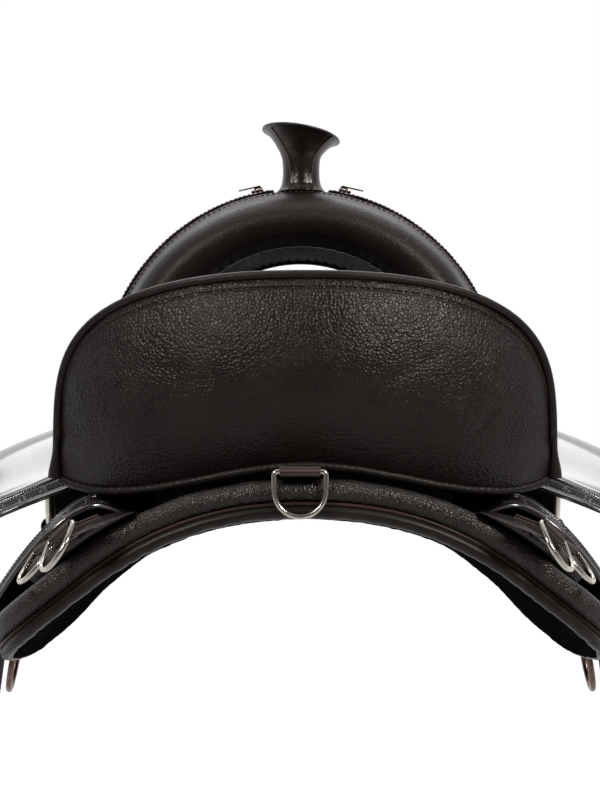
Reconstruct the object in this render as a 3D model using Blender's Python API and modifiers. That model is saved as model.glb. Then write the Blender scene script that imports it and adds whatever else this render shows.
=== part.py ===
"""Treeless saddle: padded seat, soft pommel arch with a horn, fenders and stirrups.

Metres, +Z up, +Y towards the horse's head, +X to the horse's right (off) side.
The origin lies on the horse's spine, level with the pad's underside at its rear edge.
"""
import math

import bmesh
import bpy
from mathutils import Matrix, Vector

# Clearance between pieces that touch, and the smaller one between matching flat faces
GAP = 0.0008
SEAT_GAP = 0.0004

# Horse's back under the pad: a crown that runs out into straight flanks
FLANK_SLOPE_REAR = 0.74
FLANK_SLOPE_FRONT = 0.87
CROWN_HALF_REAR = 0.160
CROWN_HALF_FRONT = 0.110
CROWN_POWER = 2.3
BACK_LOW_Y = -0.080
BACK_LOW_DEPTH = 0.008
WITHERS_LIFT = 0.033

# Pad
PAD_REAR_Y = -0.290
PAD_LENGTH = 0.580
PAD_HALF_REAR = 0.236
PAD_HALF_MIDDLE = 0.221
PAD_HALF_FRONT = 0.212
PAD_CORNER_POWER = 7.0
PAD_CORNER_REACH = 0.982
PAD_END_SWEEP = 0.028
LINING_THICKNESS = 0.0105
PAD_THICKNESS = 0.0190
SPINE_GROOVE_DEPTH = 0.004
SPINE_GROOVE_HALF = 0.035

# Cantle
CANTLE_HALF_WIDTH = 0.1865
CANTLE_FOOT_Z = 0.030
CANTLE_HEIGHT = 0.1466
CANTLE_SIDE_POWER = 2.4
CANTLE_TOP_POWER = 4.5
CANTLE_REAR_Y = -0.262
CANTLE_WRAP = 0.072
CANTLE_BULGE = 0.017
CANTLE_EDGE_SHARE = 0.90
CANTLE_HEM_DROP = 0.0200
CANTLE_HEM_HALF = 0.150
CANTLE_HEM_CORNER_LIFT = 0.008
CANTLE_HEM_Z = 0.0415
LEATHER_THICKNESS = 0.003
WELT_RADIUS = 0.0035
BINDING_RADIUS = 0.0034
BINDING_END_SHARE = 0.96

# Seat
SEAT_FRONT_Y = 0.104
SEAT_FRONT_HALF = 0.088
SEAT_FRONT_Z = 0.122
SEAT_FRONT_SIDE_Z = 0.112
SEAT_MIDDLE_HALF = 0.148
SEAT_MIDDLE_Z = 0.110
SEAT_MIDDLE_SIDE_Z = 0.097
SEAT_THICKNESS = 0.018
SEAT_EDGE_THICKNESS = 0.0085
SEAT_EDGE_ROUNDING = 0.0012
SEAT_SIDE_TUCK = 0.012
SEAT_TOP_DEPTH = 0.0055
SEAT_BEDDING = 0.0070

# Foundation under the seat, and the insert inside the cantle
GROUND_SEAT_HALF = 0.112
GROUND_SEAT_FRONT_HALF = 0.098
GROUND_SEAT_FRONT_Y = 0.100
GROUND_SEAT_REAR_Y = -0.232
GROUND_SEAT_REAR_Z = 0.046
GROUND_SEAT_FULL_Z = 0.128
GROUND_SEAT_RAMP = 0.075
CORE_HALF_SHARE = 0.77
CORE_FRONT_NARROWING = 0.97
CORE_FRONT_START = 0.80
CORE_FRONT_END = 0.955
CORE_BACK_START = 0.05
CORE_BACK_END = 0.90

# Pommel arch, a roll bent round an axis parallel to Y
ARCH_CENTRE_Z = 0.097
ARCH_HALF_ANGLE = 100.0
POMMEL_REAR_Y = 0.112
POMMEL_DEPTH = 0.124
ARCH_INNER_RADIUS_REAR = 0.126
ARCH_INNER_RADIUS_FRONT = 0.1145
ARCH_OUTER_RADIUS = 0.1755
POMMEL_SKIN = 0.0030
POMMEL_BASE_HALF = 0.168
LINING_SKIN = 0.0026

# Horn
HORN_CAP_RADIUS = 0.0345
HORN_NECK_RADIUS = 0.0170
HORN_HEIGHT = 0.051
HORN_CAP_TILT_SIDE = 9.5
HORN_CAP_TILT_FRONT = 10.0
HORN_POST_RADIUS = 0.0065
HORN_Y = 0.172
# Rounded edge of the cap: share of its radius, and share of the horn's height
HORN_CAP_EDGE = ((0.985, 0.975), (0.86, 1.0), (0.45, 1.015))

# Zips
ZIP_TAPE_WIDTH = 0.024
ZIP_TAPE_THICKNESS = 0.0014
ZIP_START_ANGLE = 8.0
ZIP_END_ANGLE = 80.0
ZIP_SLIDER_ANGLE = 12.5
ZIP_SLIDER_LENGTH = 0.0110
ZIP_SLIDER_WIDTH = 0.0090
ZIP_SLIDER_HEIGHT = 0.0042
ZIP_PULL_LENGTH = 0.020
ZIP_PULL_WIDTH = 0.0070
ZIP_PULL_THICKNESS = 0.0012
ZIP_FROM_REAR = 0.063

# Side leathers
JOCKEY_THICKNESS = 0.0035
JOCKEY_FRONT_Y = 0.232
JOCKEY_OUTER_HALF = 0.292
SKIRT_THICKNESS = 0.0040
SKIRT_REAR_Y = -0.195
SKIRT_FRONT_Y = 0.238
SKIRT_INNER_HALF = 0.118
SKIRT_OVERHANG = 0.020
SKIRT_LIFT = 0.030
SKIRT_CLEARANCE = 0.0010

# Stuffed panel under each skirt, and the foam wedge between the skirt and the jockey
PANEL_INNER_HALF = 0.126
PANEL_OUTER_HALF = 0.212
PANEL_REAR_Y = -0.283
PANEL_FRONT_Y = 0.010
PANEL_OUTER_TAPER = 0.031
PANEL_LIFT_CLEARANCE = 0.0022
PANEL_REAR_SHARE = 0.36
PANEL_REAR_RUN = 0.078
WEDGE_INNER_HALF = 0.121
WEDGE_OUTER_HALF = 0.196
WEDGE_REAR_Y = -0.130
WEDGE_FRONT_Y = -0.002
WEDGE_CLEARANCE = 0.0040

# Hardware
WIRE_RADIUS = 0.0020
DEE_WIDTH = 0.042
DEE_DROP = 0.037
DEE_CORNER = 0.0025
WEBBING_WIDTH = 0.030
WEBBING_THICKNESS = 0.0026
TAB_PLY = 0.0014
PLY_GAP = 0.0006
PIVOT_CLEARANCE = 0.0004
CINCH_WIRE_RADIUS = 0.0028
CINCH_RING_RADIUS = 0.0290
CINCH_RING_CORNER = 0.009
CINCH_TAIL = 0.012
CINCH_FREE_PLY = 0.65
REAR_TAB_LENGTH = 0.038
REAR_TAB_X = -0.005
SIDE_TAB_LENGTH = 0.028
SIDE_TAB_BEND = 0.010
RIGGING_Y = 0.180
REAR_BILLET_Y = -0.150
REAR_BILLET_START = 0.165
REAR_BILLET_HANG = 0.090
RIGGING_START = 0.178
RIGGING_HANG = 0.020
STRAP_CLEARANCE = 0.0012
STRAP_OVERHANG = 0.006
STRAP_LEAN = 0.18
STRAP_TURN = 0.75
# Side rings: name, distance from the spine, place along it, turn of the tab to the rear, how much
# steeper than its tab the ring hangs, and the tab's height above the curve of what it lies on
RING_PLACES = (
    ("rear_inner", 0.176, -0.306, 40.0, 34.0, 0.0007),
    ("rear_outer", 0.190, -0.268, 32.0, 16.0, 0.0017),
    ("front", 0.204, 0.220, -10.0, 0.0, 0.0006),
)

# Fenders and stirrups
SWING_Y = 0.030
SWING_Z = 0.012
SWING_HALF = 0.2100
HANGER_WIRE_RADIUS = 0.0040
HANGER_RADIUS = 0.034
FENDER_THICKNESS = 0.0050
FENDER_LEAN = 10.0
FENDER_TOP_WIDTH = 0.046
FENDER_WIDTH = 0.168
FENDER_NECK_WIDTH = 0.062
FENDER_DROP = 0.455
STIRRUP_DEPTH = 0.070
STIRRUP_THICKNESS = 0.0090
STIRRUP_BOLT_RADIUS = 0.0045
STIRRUP_BOLT_BELOW = 0.012
STIRRUP_LOOP_PLY = 0.0028
STIRRUP_LOOP_WIDTH = 0.056
STIRRUP_LOOP_TAIL = 0.060
STIRRUP_EAR_HALF = 0.0375
STIRRUP_EAR_DEPTH = 0.030
# Stirrup side seen square to its window: distance from its middle, and height from the bolt
STIRRUP_SIDE = (
    (STIRRUP_EAR_HALF, 0.014), (STIRRUP_EAR_HALF, -0.012), (0.050, -0.040), (0.0605, -0.074),
    (0.0600, -0.104), (0.050, -0.1205), (0.030, -0.1220), (0.001, -0.1220),
)
HANGER_BAR_ANGLE = 125.0
HANGER_RISE = 0.10
HANGER_PLY = 0.0022
HANGER_STRAP_WIDTH = 0.044
SLEEVE_HALF_ANGLE = 27.0
SLEEVE_THICKNESS = 0.0045
SLEEVE_LAP = 0.0024
FENDER_TOP_HALF = 0.2075
FENDER_KICK = 0.0300
FENDER_KICK_LENGTH = 0.064

# Outside of the fender's sleeve, measured from the swing axis
SLEEVE_REACH = HANGER_RADIUS + HANGER_WIRE_RADIUS + PIVOT_CLEARANCE + SLEEVE_THICKNESS

PAD_FRONT_Y = PAD_REAR_Y + PAD_LENGTH
PAD_TOP = LINING_THICKNESS + GAP + PAD_THICKNESS


def mix(a, b, t):
    """Value a at t = 0 and b at t = 1."""
    return a + (b - a) * t


def clamp(t):
    return max(0.0, min(1.0, t))


def ease(t):
    t = clamp(t)
    return t * t * (3.0 - 2.0 * t)


def through(rear, middle, front, t):
    """Parabola through three values at t = 0, 0.5 and 1."""
    return rear * (1 - 2 * t) * (1 - t) + 4 * middle * t * (1 - t) + front * t * (2 * t - 1)


def spread(count, crowding=0.6):
    """Values 0 to 1 that lie closer together at both ends."""
    steps = [i / count for i in range(count + 1)]
    return [t - crowding * math.sin(2 * math.pi * t) / (2 * math.pi) for t in steps]


def even(low, high, count):
    return [mix(low, high, i / count) for i in range(count + 1)]


# Materials

def material(name, color, roughness, metallic=0.0):
    mat = bpy.data.materials.new(name)
    mat.use_nodes = True
    shader = mat.node_tree.nodes["Principled BSDF"]
    shader.inputs["Base Color"].default_value = (*color, 1.0)
    shader.inputs["Roughness"].default_value = roughness
    shader.inputs["Metallic"].default_value = metallic
    return mat


LEATHER = ((0.022, 0.014, 0.011), 0.42)
SMOOTH_LEATHER = ((0.028, 0.018, 0.014), 0.28)
WEBBING = ((0.045, 0.026, 0.020), 0.75)
BLACK_WEBBING = ((0.012, 0.011, 0.011), 0.70)
NICKEL = ((0.62, 0.58, 0.51), 0.22, 1.0)
FOAM = ((0.22, 0.20, 0.18), 0.9)
COMPOSITE = ((0.05, 0.05, 0.055), 0.5)
FLEECE = ((0.030, 0.022, 0.018), 0.55)


# Scene and mesh helpers

def clear_scene():
    for obj in list(bpy.data.objects):
        bpy.data.objects.remove(obj, do_unlink=True)


def collection(name):
    group = bpy.data.collections.new(name)
    bpy.context.scene.collection.children.link(group)
    return group


def add(name, mesh, finish, where="saddle"):
    obj = bpy.data.objects.new(name, mesh)
    obj.data.materials.append(material(name, *finish))
    bpy.data.collections[where].objects.link(obj)
    mesh.shade_smooth()
    mesh.set_sharp_from_angle(angle=math.radians(40))
    return obj


def settle_normals(bm):
    bmesh.ops.recalc_face_normals(bm, faces=bm.faces)
    if bm.calc_volume(signed=True) < 0:
        bmesh.ops.reverse_faces(bm, faces=bm.faces)


def finished_mesh(name, bm, closed=True):
    if closed:
        settle_normals(bm)
    mesh = bpy.data.meshes.new(name)
    bm.to_mesh(mesh)
    bm.free()
    return mesh


def grid_faces(bm, rows, flip=False, wrap=False):
    """Faces between rows of vertices; wrap joins each row's last vertex to its first."""
    last = len(rows[0]) if wrap else len(rows[0]) - 1
    for low, high in zip(rows, rows[1:]):
        for i in range(last):
            j = (i + 1) % len(low)
            corners = (low[i], low[j], high[j], high[i])
            bm.faces.new(corners[::-1] if flip else corners)


def sheet(name, surface, us, vs, thickness, finish, side=1, edge=0.0):
    """Open surface with thickness below it; side = -1 mirrors it to the horse's left."""
    bm = bmesh.new()
    rows = []
    for v in vs:
        points = [surface(u, v) for u in us]
        rows.append([bm.verts.new((side * p.x, p.y, p.z)) for p in points])
    grid_faces(bm, rows, flip=side < 0)
    obj = add(name, finished_mesh(name, bm, closed=False), finish)
    shell = obj.modifiers.new("Thickness", "SOLIDIFY")
    shell.thickness = thickness
    shell.offset = -1.0
    if edge:
        round_edges(obj, edge)
    return obj


def round_edges(obj, width, segments=1, angle=50.0):
    bevel = obj.modifiers.new("Rounded edges", "BEVEL")
    bevel.width = width
    bevel.segments = segments
    bevel.limit_method = "ANGLE"
    bevel.angle_limit = math.radians(angle)
    return bevel


def slab(name, top, bottom, us, vs, finish, side=1):
    """Closed body between two surfaces over the same grid."""
    bm = bmesh.new()
    layers = []
    for surface in (bottom, top):
        rows = []
        for v in vs:
            points = [surface(u, v) for u in us]
            rows.append([bm.verts.new((side * p.x, p.y, p.z)) for p in points])
        layers.append(rows)
    low, high = layers
    grid_faces(bm, low)
    grid_faces(bm, high)
    rim_low = low[0] + [r[-1] for r in low[1:]] + low[-1][-2::-1] + [r[0] for r in low[-2:0:-1]]
    rim_high = high[0] + [r[-1] for r in high[1:]] + high[-1][-2::-1] + [r[0] for r in high[-2:0:-1]]
    grid_faces(bm, [rim_low, rim_high], wrap=True)
    return add(name, finished_mesh(name, bm), finish)


def loft(name, rings, finish, wrap_ends=False, where="saddle"):
    """Closed body through rings of points, capped at both ends unless the ends meet."""
    bm = bmesh.new()
    rows = [[bm.verts.new(p) for p in ring] for ring in rings]
    if wrap_ends:
        rows.append(rows[0])
    grid_faces(bm, rows, wrap=True)
    if not wrap_ends:
        bm.faces.new(rows[0])
        bm.faces.new(rows[-1])
    return add(name, finished_mesh(name, bm), finish, where)


def turned(name, profile, steps, finish):
    """Body turned about Z from a profile of (radius, height) points, top to bottom."""
    bm = bmesh.new()
    verts = [bm.verts.new((radius, 0.0, height)) for radius, height in profile]
    for a, b in zip(verts, verts[1:]):
        bm.edges.new((a, b))
    obj = add(name, finished_mesh(name, bm, closed=False), finish)
    screw = obj.modifiers.new("Turn", "SCREW")
    screw.steps = steps
    screw.render_steps = steps
    screw.use_merge_vertices = True
    screw.merge_threshold = 0.00001
    return obj


def tube(name, points, radius, finish, cyclic=False, sides=1):
    """Round wire or cord through points; sides is the curve's bevel resolution."""
    curve = bpy.data.curves.new(name, "CURVE")
    curve.dimensions = "3D"
    curve.bevel_depth = radius
    curve.bevel_resolution = sides
    curve.use_fill_caps = not cyclic
    spline = curve.splines.new("POLY")
    spline.points.add(len(points) - 1)
    for knot, point in zip(spline.points, points):
        knot.co = (*point, 1.0)
    spline.use_cyclic_u = cyclic
    obj = bpy.data.objects.new(name, curve)
    obj.data.materials.append(material(name, *finish))
    bpy.data.collections["saddle"].objects.link(obj)
    return obj


# Horse's back

def back_center(y):
    rear_run = BACK_LOW_Y - PAD_REAR_Y
    front_run = PAD_FRONT_Y - BACK_LOW_Y
    if y < BACK_LOW_Y:
        return BACK_LOW_DEPTH * (((BACK_LOW_Y - y) / rear_run) ** 2 - 1.0)
    return (WITHERS_LIFT + BACK_LOW_DEPTH) * ((y - BACK_LOW_Y) / front_run) ** 2 - BACK_LOW_DEPTH


def back_height(x, y):
    """Height of the horse's back under the pad."""
    t = (y - PAD_REAR_Y) / PAD_LENGTH
    slope = mix(FLANK_SLOPE_REAR, FLANK_SLOPE_FRONT, t)
    half = mix(CROWN_HALF_REAR, CROWN_HALF_FRONT, t)
    reach = abs(x) / half
    crown = slope * half / CROWN_POWER
    if reach < 1.0:
        return back_center(y) - crown * reach ** CROWN_POWER
    return back_center(y) - crown - slope * (abs(x) - half)


def back_normal(x, y):
    step = 0.001
    dx = (back_height(x + step, y) - back_height(x - step, y)) / (2 * step)
    dy = (back_height(x, y + step) - back_height(x, y - step)) / (2 * step)
    return Vector((-dx, -dy, 1.0)).normalized()


def on_back(x, y, height):
    """Point at a height above the horse's back, measured square to it."""
    return Vector((x, y, back_height(x, y))) + back_normal(x, y) * height


def above_back(x, y, height):
    """The same surface, found straight above the place x, y."""
    base = Vector((x, y))
    for _ in range(5):
        lean = back_normal(*base) * height
        base = Vector((x - lean.x, y - lean.y))
    return on_back(base.x, base.y, height)


# Pad

def pad_place(u, v):
    """Plan position on the pad: u across from -1 to 1, v from the rear to the front."""
    end = 2 * v - 1
    half = through(PAD_HALF_REAR, PAD_HALF_MIDDLE, PAD_HALF_FRONT, v)
    corner = (1 - abs(end * PAD_CORNER_REACH) ** PAD_CORNER_POWER) ** (1 / PAD_CORNER_POWER)
    y = mix(PAD_REAR_Y, PAD_FRONT_Y, v) - end ** 3 * PAD_END_SWEEP * u * u
    return u * half * corner, y


def spine_groove(x, v):
    """Depth of the channel under the pad that keeps it off the horse's spine."""
    across = clamp(1 - abs(x) / SPINE_GROOVE_HALF)
    along = clamp(min(v, 1 - v) * 8.0)
    return SPINE_GROOVE_DEPTH * ease(across) * ease(along)


def build_pad():
    us = even(-1.0, 1.0, 16)
    vs = spread(9, crowding=0.7)

    def layer(height):
        def surface(u, v):
            x, y = pad_place(u, v)
            return on_back(x, y, height)
        return surface

    def underside(u, v):
        x, y = pad_place(u, v)
        return on_back(x, y, spine_groove(x, v))

    lining = slab("pad_lining", layer(LINING_THICKNESS), underside, us, vs, FLEECE)
    round_edges(lining, LINING_THICKNESS * 0.42)
    pad = slab("pad_body", layer(PAD_TOP), layer(LINING_THICKNESS + GAP), us, vs, LEATHER)
    round_edges(pad, PAD_THICKNESS * 0.36, segments=2)


# Cantle

def outline_point(angle):
    """Cantle outline seen from behind, angle from -90 to 90 degrees about its foot."""
    s = math.sin(math.radians(angle))
    c = max(0.0, math.cos(math.radians(angle)))
    x = math.copysign(abs(s) ** (2 / CANTLE_SIDE_POWER), s) * CANTLE_HALF_WIDTH
    return x, CANTLE_FOOT_Z + CANTLE_HEIGHT * c ** (2 / CANTLE_TOP_POWER)


def outline_table(count=720):
    """Outline points with their distance along the outline, as a share from -1 to 1."""
    points = [outline_point(mix(-90.0, 90.0, i / count)) for i in range(count + 1)]
    lengths = [0.0]
    for a, b in zip(points, points[1:]):
        lengths.append(lengths[-1] + math.dist(a, b))
    return [2 * length / lengths[-1] - 1 for length in lengths], points


OUTLINE_SHARES, OUTLINE_POINTS = outline_table()


def cantle_outline(u):
    """Outline point at a share u of its length, from -1 at the left foot to 1."""
    for i, share in enumerate(OUTLINE_SHARES[1:]):
        if share >= u:
            before = OUTLINE_SHARES[i]
            t = (u - before) / (share - before)
            a, b = OUTLINE_POINTS[i], OUTLINE_POINTS[i + 1]
            return mix(a[0], b[0], t), mix(a[1], b[1], t)
    return OUTLINE_POINTS[-1]


def cantle_edge(u):
    """Top edge of the cantle's back, which wraps forward round the rider."""
    return on_outline(u * CANTLE_EDGE_SHARE)


def on_outline(share):
    x, z = cantle_outline(share)
    return Vector((x, CANTLE_REAR_Y + CANTLE_WRAP * (x / CANTLE_HALF_WIDTH) ** 2, z))


def hem_height(x):
    """Height of the cantle's lower hem, which arches over the horse's back."""
    swing = clamp(abs(x) / CANTLE_HEM_HALF)
    corner = clamp((abs(x) - CANTLE_HEM_HALF) / (CANTLE_HALF_WIDTH - CANTLE_HEM_HALF))
    dip = CANTLE_HEM_DROP * math.sin(0.5 * math.pi * swing) ** 2
    return CANTLE_HEM_Z - dip + CANTLE_HEM_CORNER_LIFT * corner ** 2


def cantle_hem(u):
    x = u * (CANTLE_HALF_WIDTH + 0.001)
    y = CANTLE_REAR_Y + 0.010 + CANTLE_WRAP * (x / CANTLE_HALF_WIDTH) ** 2
    return Vector((x, y, hem_height(x)))


def cantle_back_point(u, v):
    """Back of the cantle: hem at v = 0, top edge at v = 1, swelling out between."""
    point = cantle_hem(u).lerp(cantle_edge(u), v)
    swell = CANTLE_BULGE * math.sin(math.pi * clamp(v)) ** 0.8 * (1 - abs(u) ** 4)
    return point + Vector((0.35 * u, -1.0, 0.0)).normalized() * swell


def surface_normal(surface, u, v, step=0.002):
    across = surface(min(u + step, 1.0), v) - surface(max(u - step, -1.0), v)
    along = surface(u, v + step) - surface(u, v - step)
    return across.cross(along).normalized()


# Seat

def seat_point(u, v):
    """Top of the seat: front edge at v = 0, over the dish, to the cantle's top at v = 1."""
    rear = ease((v - 0.45) / 0.55) ** 1.4
    half = mix(through(SEAT_FRONT_HALF, SEAT_MIDDLE_HALF, CANTLE_HALF_WIDTH - 0.003, v),
               CANTLE_HALF_WIDTH - 0.003, rear)
    front = (1 - clamp(v / 0.5)) ** 2
    centre_z = mix(mix(SEAT_MIDDLE_Z, SEAT_FRONT_Z, front), CANTLE_FOOT_Z + CANTLE_HEIGHT, rear)
    side_z = mix(mix(SEAT_MIDDLE_SIDE_Z, SEAT_FRONT_SIDE_Z, front), CANTLE_FOOT_Z + 0.006, rear)
    side_power = mix(2.0, CANTLE_SIDE_POWER, rear)
    top_power = mix(1.0, CANTLE_TOP_POWER, rear)
    flat_angle = math.radians(90.0 * u)
    x_flat = half * math.copysign(abs(math.sin(flat_angle)) ** (2 / side_power), u)
    z_flat = mix(side_z, centre_z, max(0.0, math.cos(flat_angle)) ** (2 / top_power))
    edge_x, edge_z = cantle_outline(u)
    x = mix(x_flat, edge_x * half / CANTLE_HALF_WIDTH, rear)
    z = mix(z_flat, mix(side_z, centre_z, (edge_z - CANTLE_FOOT_Z) / CANTLE_HEIGHT), rear)
    wrap = CANTLE_WRAP * (x / CANTLE_HALF_WIDTH) ** 2 * ease((v - 0.2) / 0.8)
    tuck = SEAT_SIDE_TUCK * abs(u) ** 8 * rear
    y = mix(SEAT_FRONT_Y, CANTLE_REAR_Y + SEAT_TOP_DEPTH, v) + wrap + tuck
    return Vector((x, y, z))


def seat_thickness(u, v):
    rim = min(1 - abs(u), v * 1.5, (1 - v) * 1.5)
    return mix(SEAT_EDGE_THICKNESS, SEAT_THICKNESS, ease(rim / 0.25))


def below_seat(u, v, extra=0.0):
    """Underside of the seat, or a surface below it."""
    inward = surface_normal(seat_point, u, v)
    return seat_point(u, v) + inward * (seat_thickness(u, v) + extra)


def build_seat():
    us = even(-1.0, 1.0, 18)
    vs = even(0.0, 1.0, 10)
    seat = slab("seat", seat_point, below_seat, us, vs, SMOOTH_LEATHER)
    round_edges(seat, SEAT_EDGE_ROUNDING)


def build_ground_seat():
    """Stiff foam foundation between the pad and the seat, which ramps down under the cantle."""
    def place(u, v):
        x = u * GROUND_SEAT_HALF
        rear_y = GROUND_SEAT_REAR_Y + CANTLE_WRAP * (x / CANTLE_HALF_WIDTH) ** 2
        y = mix(GROUND_SEAT_FRONT_Y, rear_y, v)
        narrowing = (GROUND_SEAT_HALF - GROUND_SEAT_FRONT_HALF) * (1 - ease(v / 0.14))
        return x - u * narrowing, y, y - rear_y

    def top(u, v):
        x, y, from_rear = place(u, v)
        ramp = mix(GROUND_SEAT_REAR_Z, GROUND_SEAT_FULL_Z, from_rear / GROUND_SEAT_RAMP)
        return Vector((x, y, min(ramp, seat_underside_at(x, y) - SEAT_BEDDING)))

    def bottom(u, v):
        x, y, _ = place(u, v)
        return above_back(x, y, PAD_TOP + 2 * GAP)

    slab("ground_seat", top, bottom, even(-1.0, 1.0, 8), even(0.0, 1.0, 10), FOAM)


def seat_underside_at(x, y):
    """Height of the seat's underside straight above or below the place x, y."""
    u, v = x / SEAT_MIDDLE_HALF, 0.5
    for _ in range(30):
        point = below_seat(u, v)
        u = max(-0.98, min(0.98, u + 0.8 * (x - point.x) / SEAT_MIDDLE_HALF))
        v = max(0.02, min(0.98, v - 0.8 * (y - point.y) / 0.36))
    return point.z


def binding_point(u):
    """Centre line of the binding, which covers the seam between the cantle's back and the seat."""
    along = on_outline(u + 0.01) - on_outline(u - 0.01)
    outward = Vector((-along.z, 0.0, along.x)).normalized()
    forward = Vector((0.0, LEATHER_THICKNESS / 2, 0.0))
    return on_outline(u) + outward * (BINDING_RADIUS + SEAT_GAP) + forward


def build_cantle():
    us = even(-1.0, 1.0, 20)
    vs = even(0.0, 1.0, 5)

    sheet("cantle_back", cantle_back_point, us, vs, LEATHER_THICKNESS, LEATHER, edge=0.0008)

    below = Vector((0, LEATHER_THICKNESS / 2, -WELT_RADIUS - SEAT_GAP / 2))
    tube("cantle_welt", [cantle_hem(u) + below for u in us], WELT_RADIUS, LEATHER)

    edge = [binding_point(u) for u in even(-BINDING_END_SHARE, BINDING_END_SHARE, 26)]
    tube("cantle_binding", edge, BINDING_RADIUS, LEATHER)
    build_cantle_core()


def build_cantle_core():
    """Moulded insert between the cantle's back and the seat."""
    us = even(-CORE_HALF_SHARE, CORE_HALF_SHARE, 16)
    vs = even(0.0, 1.0, 6)

    def inner_back(u, v):
        v = mix(CORE_BACK_START, CORE_BACK_END, v)
        normal = surface_normal(cantle_back_point, u, v)
        return cantle_back_point(u, v) - normal * (LEATHER_THICKNESS + 2 * GAP)

    def inner_front(u, v):
        return below_seat(u * CORE_FRONT_NARROWING, mix(CORE_FRONT_START, CORE_FRONT_END, v), SEAT_BEDDING)

    slab("cantle_core", inner_front, inner_back, us, vs, COMPOSITE)


# Pommel

POMMEL_SECTION = (
    (0.016, 0.0), (0.002, 0.24), (0.0, 0.53), (0.012, 0.79), (0.033, 0.91), (0.050, 1.0),
    (0.076, 1.0), (0.092, 0.96), (0.110, 0.80), (0.122, 0.55), (0.122, 0.26), (0.110, 0.0),
)


def pommel_section(inset=0.0, steps=12):
    """Section of the pommel roll as (y, radius) points, from the rear rim to the front rim."""
    rim = [mix(ARCH_INNER_RADIUS_REAR, ARCH_INNER_RADIUS_FRONT, y / POMMEL_DEPTH)
           for y, _ in POMMEL_SECTION]
    knots = [Vector((POMMEL_REAR_Y + y, mix(low, ARCH_OUTER_RADIUS, share)))
             for (y, share), low in zip(POMMEL_SECTION, rim)]
    points = smooth_through(knots, steps)
    if not inset:
        return points
    shrunk = []
    for i, point in enumerate(points):
        along = points[min(i + 1, steps)] - points[max(i - 1, 0)]
        shrunk.append(point + Vector((along.y, -along.x)).normalized() * inset)
    return shrunk


def smooth_through(knots, steps):
    """Points along a smooth curve through the knots, evenly spaced in its parameter."""
    points = []
    spans = len(knots) - 1
    for i in range(steps + 1):
        place = i / steps * spans
        k = min(int(place), spans - 1)
        t = place - k
        before = knots[max(k - 1, 0)]
        after = knots[min(k + 2, spans)]
        a, b = knots[k], knots[k + 1]
        points.append(0.5 * (2 * a + (b - before) * t + (2 * before - 5 * a + 4 * b - after) * t ** 2
                             + (3 * a - 3 * b + after - before) * t ** 3))
    return points


def round_arch(radius, y, angle):
    """Point on the arch at an angle in degrees from its top, positive to the right."""
    turn = math.radians(angle)
    return Vector((radius * math.sin(turn), y, ARCH_CENTRE_Z + radius * math.cos(turn)))


def build_pommel():
    angles = even(-ARCH_HALF_ANGLE, ARCH_HALF_ANGLE, 24)
    outer = pommel_section()
    inner = pommel_section(inset=POMMEL_SKIN)
    rings = [[round_arch(r, y, a) for y, r in outer + inner[::-1]] for a in angles]
    cover = loft("pommel_cover", rings, LEATHER)
    cut_horn_hole(cover)

    core = pommel_section(inset=POMMEL_SKIN + 2 * GAP)
    lift = LINING_SKIN + GAP
    core = [Vector((y, max(r, rim_radius(y) + lift))) for y, r in core]
    rings = [[round_arch(r, y, a) for y, r in core] for a in even(-97.0, 97.0, 22)]
    insert = loft("pommel_insert", rings, COMPOSITE)
    cut_horn_hole(insert)

    low, high = POMMEL_REAR_Y + 0.0215, POMMEL_REAR_Y + 0.1045
    across = [(y, rim_radius(y)) for y in even(low, high, 2)]
    rings = []
    for a in angles:
        under = [round_arch(r, y, a) for y, r in across]
        over = [round_arch(r + LINING_SKIN, y, a) for y, r in across]
        rings.append(under + over[::-1])
    loft("pommel_lining", rings, FLEECE)


def rim_radius(y):
    """Inner radius of the arch between its rear and front rims."""
    return mix(ARCH_INNER_RADIUS_REAR, ARCH_INNER_RADIUS_FRONT, (y - POMMEL_REAR_Y) / POMMEL_DEPTH)


def cutter(name, radius, low, high, x=0.0, y=0.0, segments=16):
    """Upright round cutter."""
    bm = bmesh.new()
    place = Matrix.Translation((x, y, (low + high) / 2))
    bmesh.ops.create_cone(bm, cap_ends=True, segments=segments, radius1=radius, radius2=radius,
                          depth=high - low, matrix=place)
    obj = bpy.data.objects.new(name, finished_mesh(name, bm))
    bpy.data.collections["cutters"].objects.link(obj)
    obj.hide_render = True
    obj.display_type = "WIRE"
    return obj


def cut_horn_hole(obj):
    """Hole through the top of the arch for the horn's post."""
    top = ARCH_CENTRE_Z + ARCH_OUTER_RADIUS
    radius = HORN_POST_RADIUS + SEAT_GAP
    hole = cutter(obj.name + "_horn_hole", radius, top - 0.1, top + 0.01, y=HORN_Y)
    cut = obj.modifiers.new("Horn hole", "BOOLEAN")
    cut.operation = "DIFFERENCE"
    cut.object = hole


# Horn

def horn_radius(t):
    """Radius of the horn's leather at a share t of its height."""
    flare = max(0.0, (t - 0.52) / 0.48)
    foot = max(0.0, (0.16 - t) / 0.16)
    waist = HORN_NECK_RADIUS * (1.06 - 0.10 * math.sin(math.pi * clamp(t / 0.7)))
    return waist + (HORN_CAP_RADIUS - HORN_NECK_RADIUS) * flare ** 1.9 + 0.0035 * foot ** 2


def tilt_cap(obj, base_z):
    """Tilts the horn's cap down to the right and to the front, leaving its neck upright."""
    side = math.tan(math.radians(HORN_CAP_TILT_SIDE))
    front = math.tan(math.radians(HORN_CAP_TILT_FRONT))
    for vert in obj.data.vertices:
        t = clamp((vert.co.z - base_z) / HORN_HEIGHT)
        vert.co.z -= (side * vert.co.x + front * (vert.co.y - HORN_Y)) * ease((t - 0.35) / 0.65)


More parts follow.
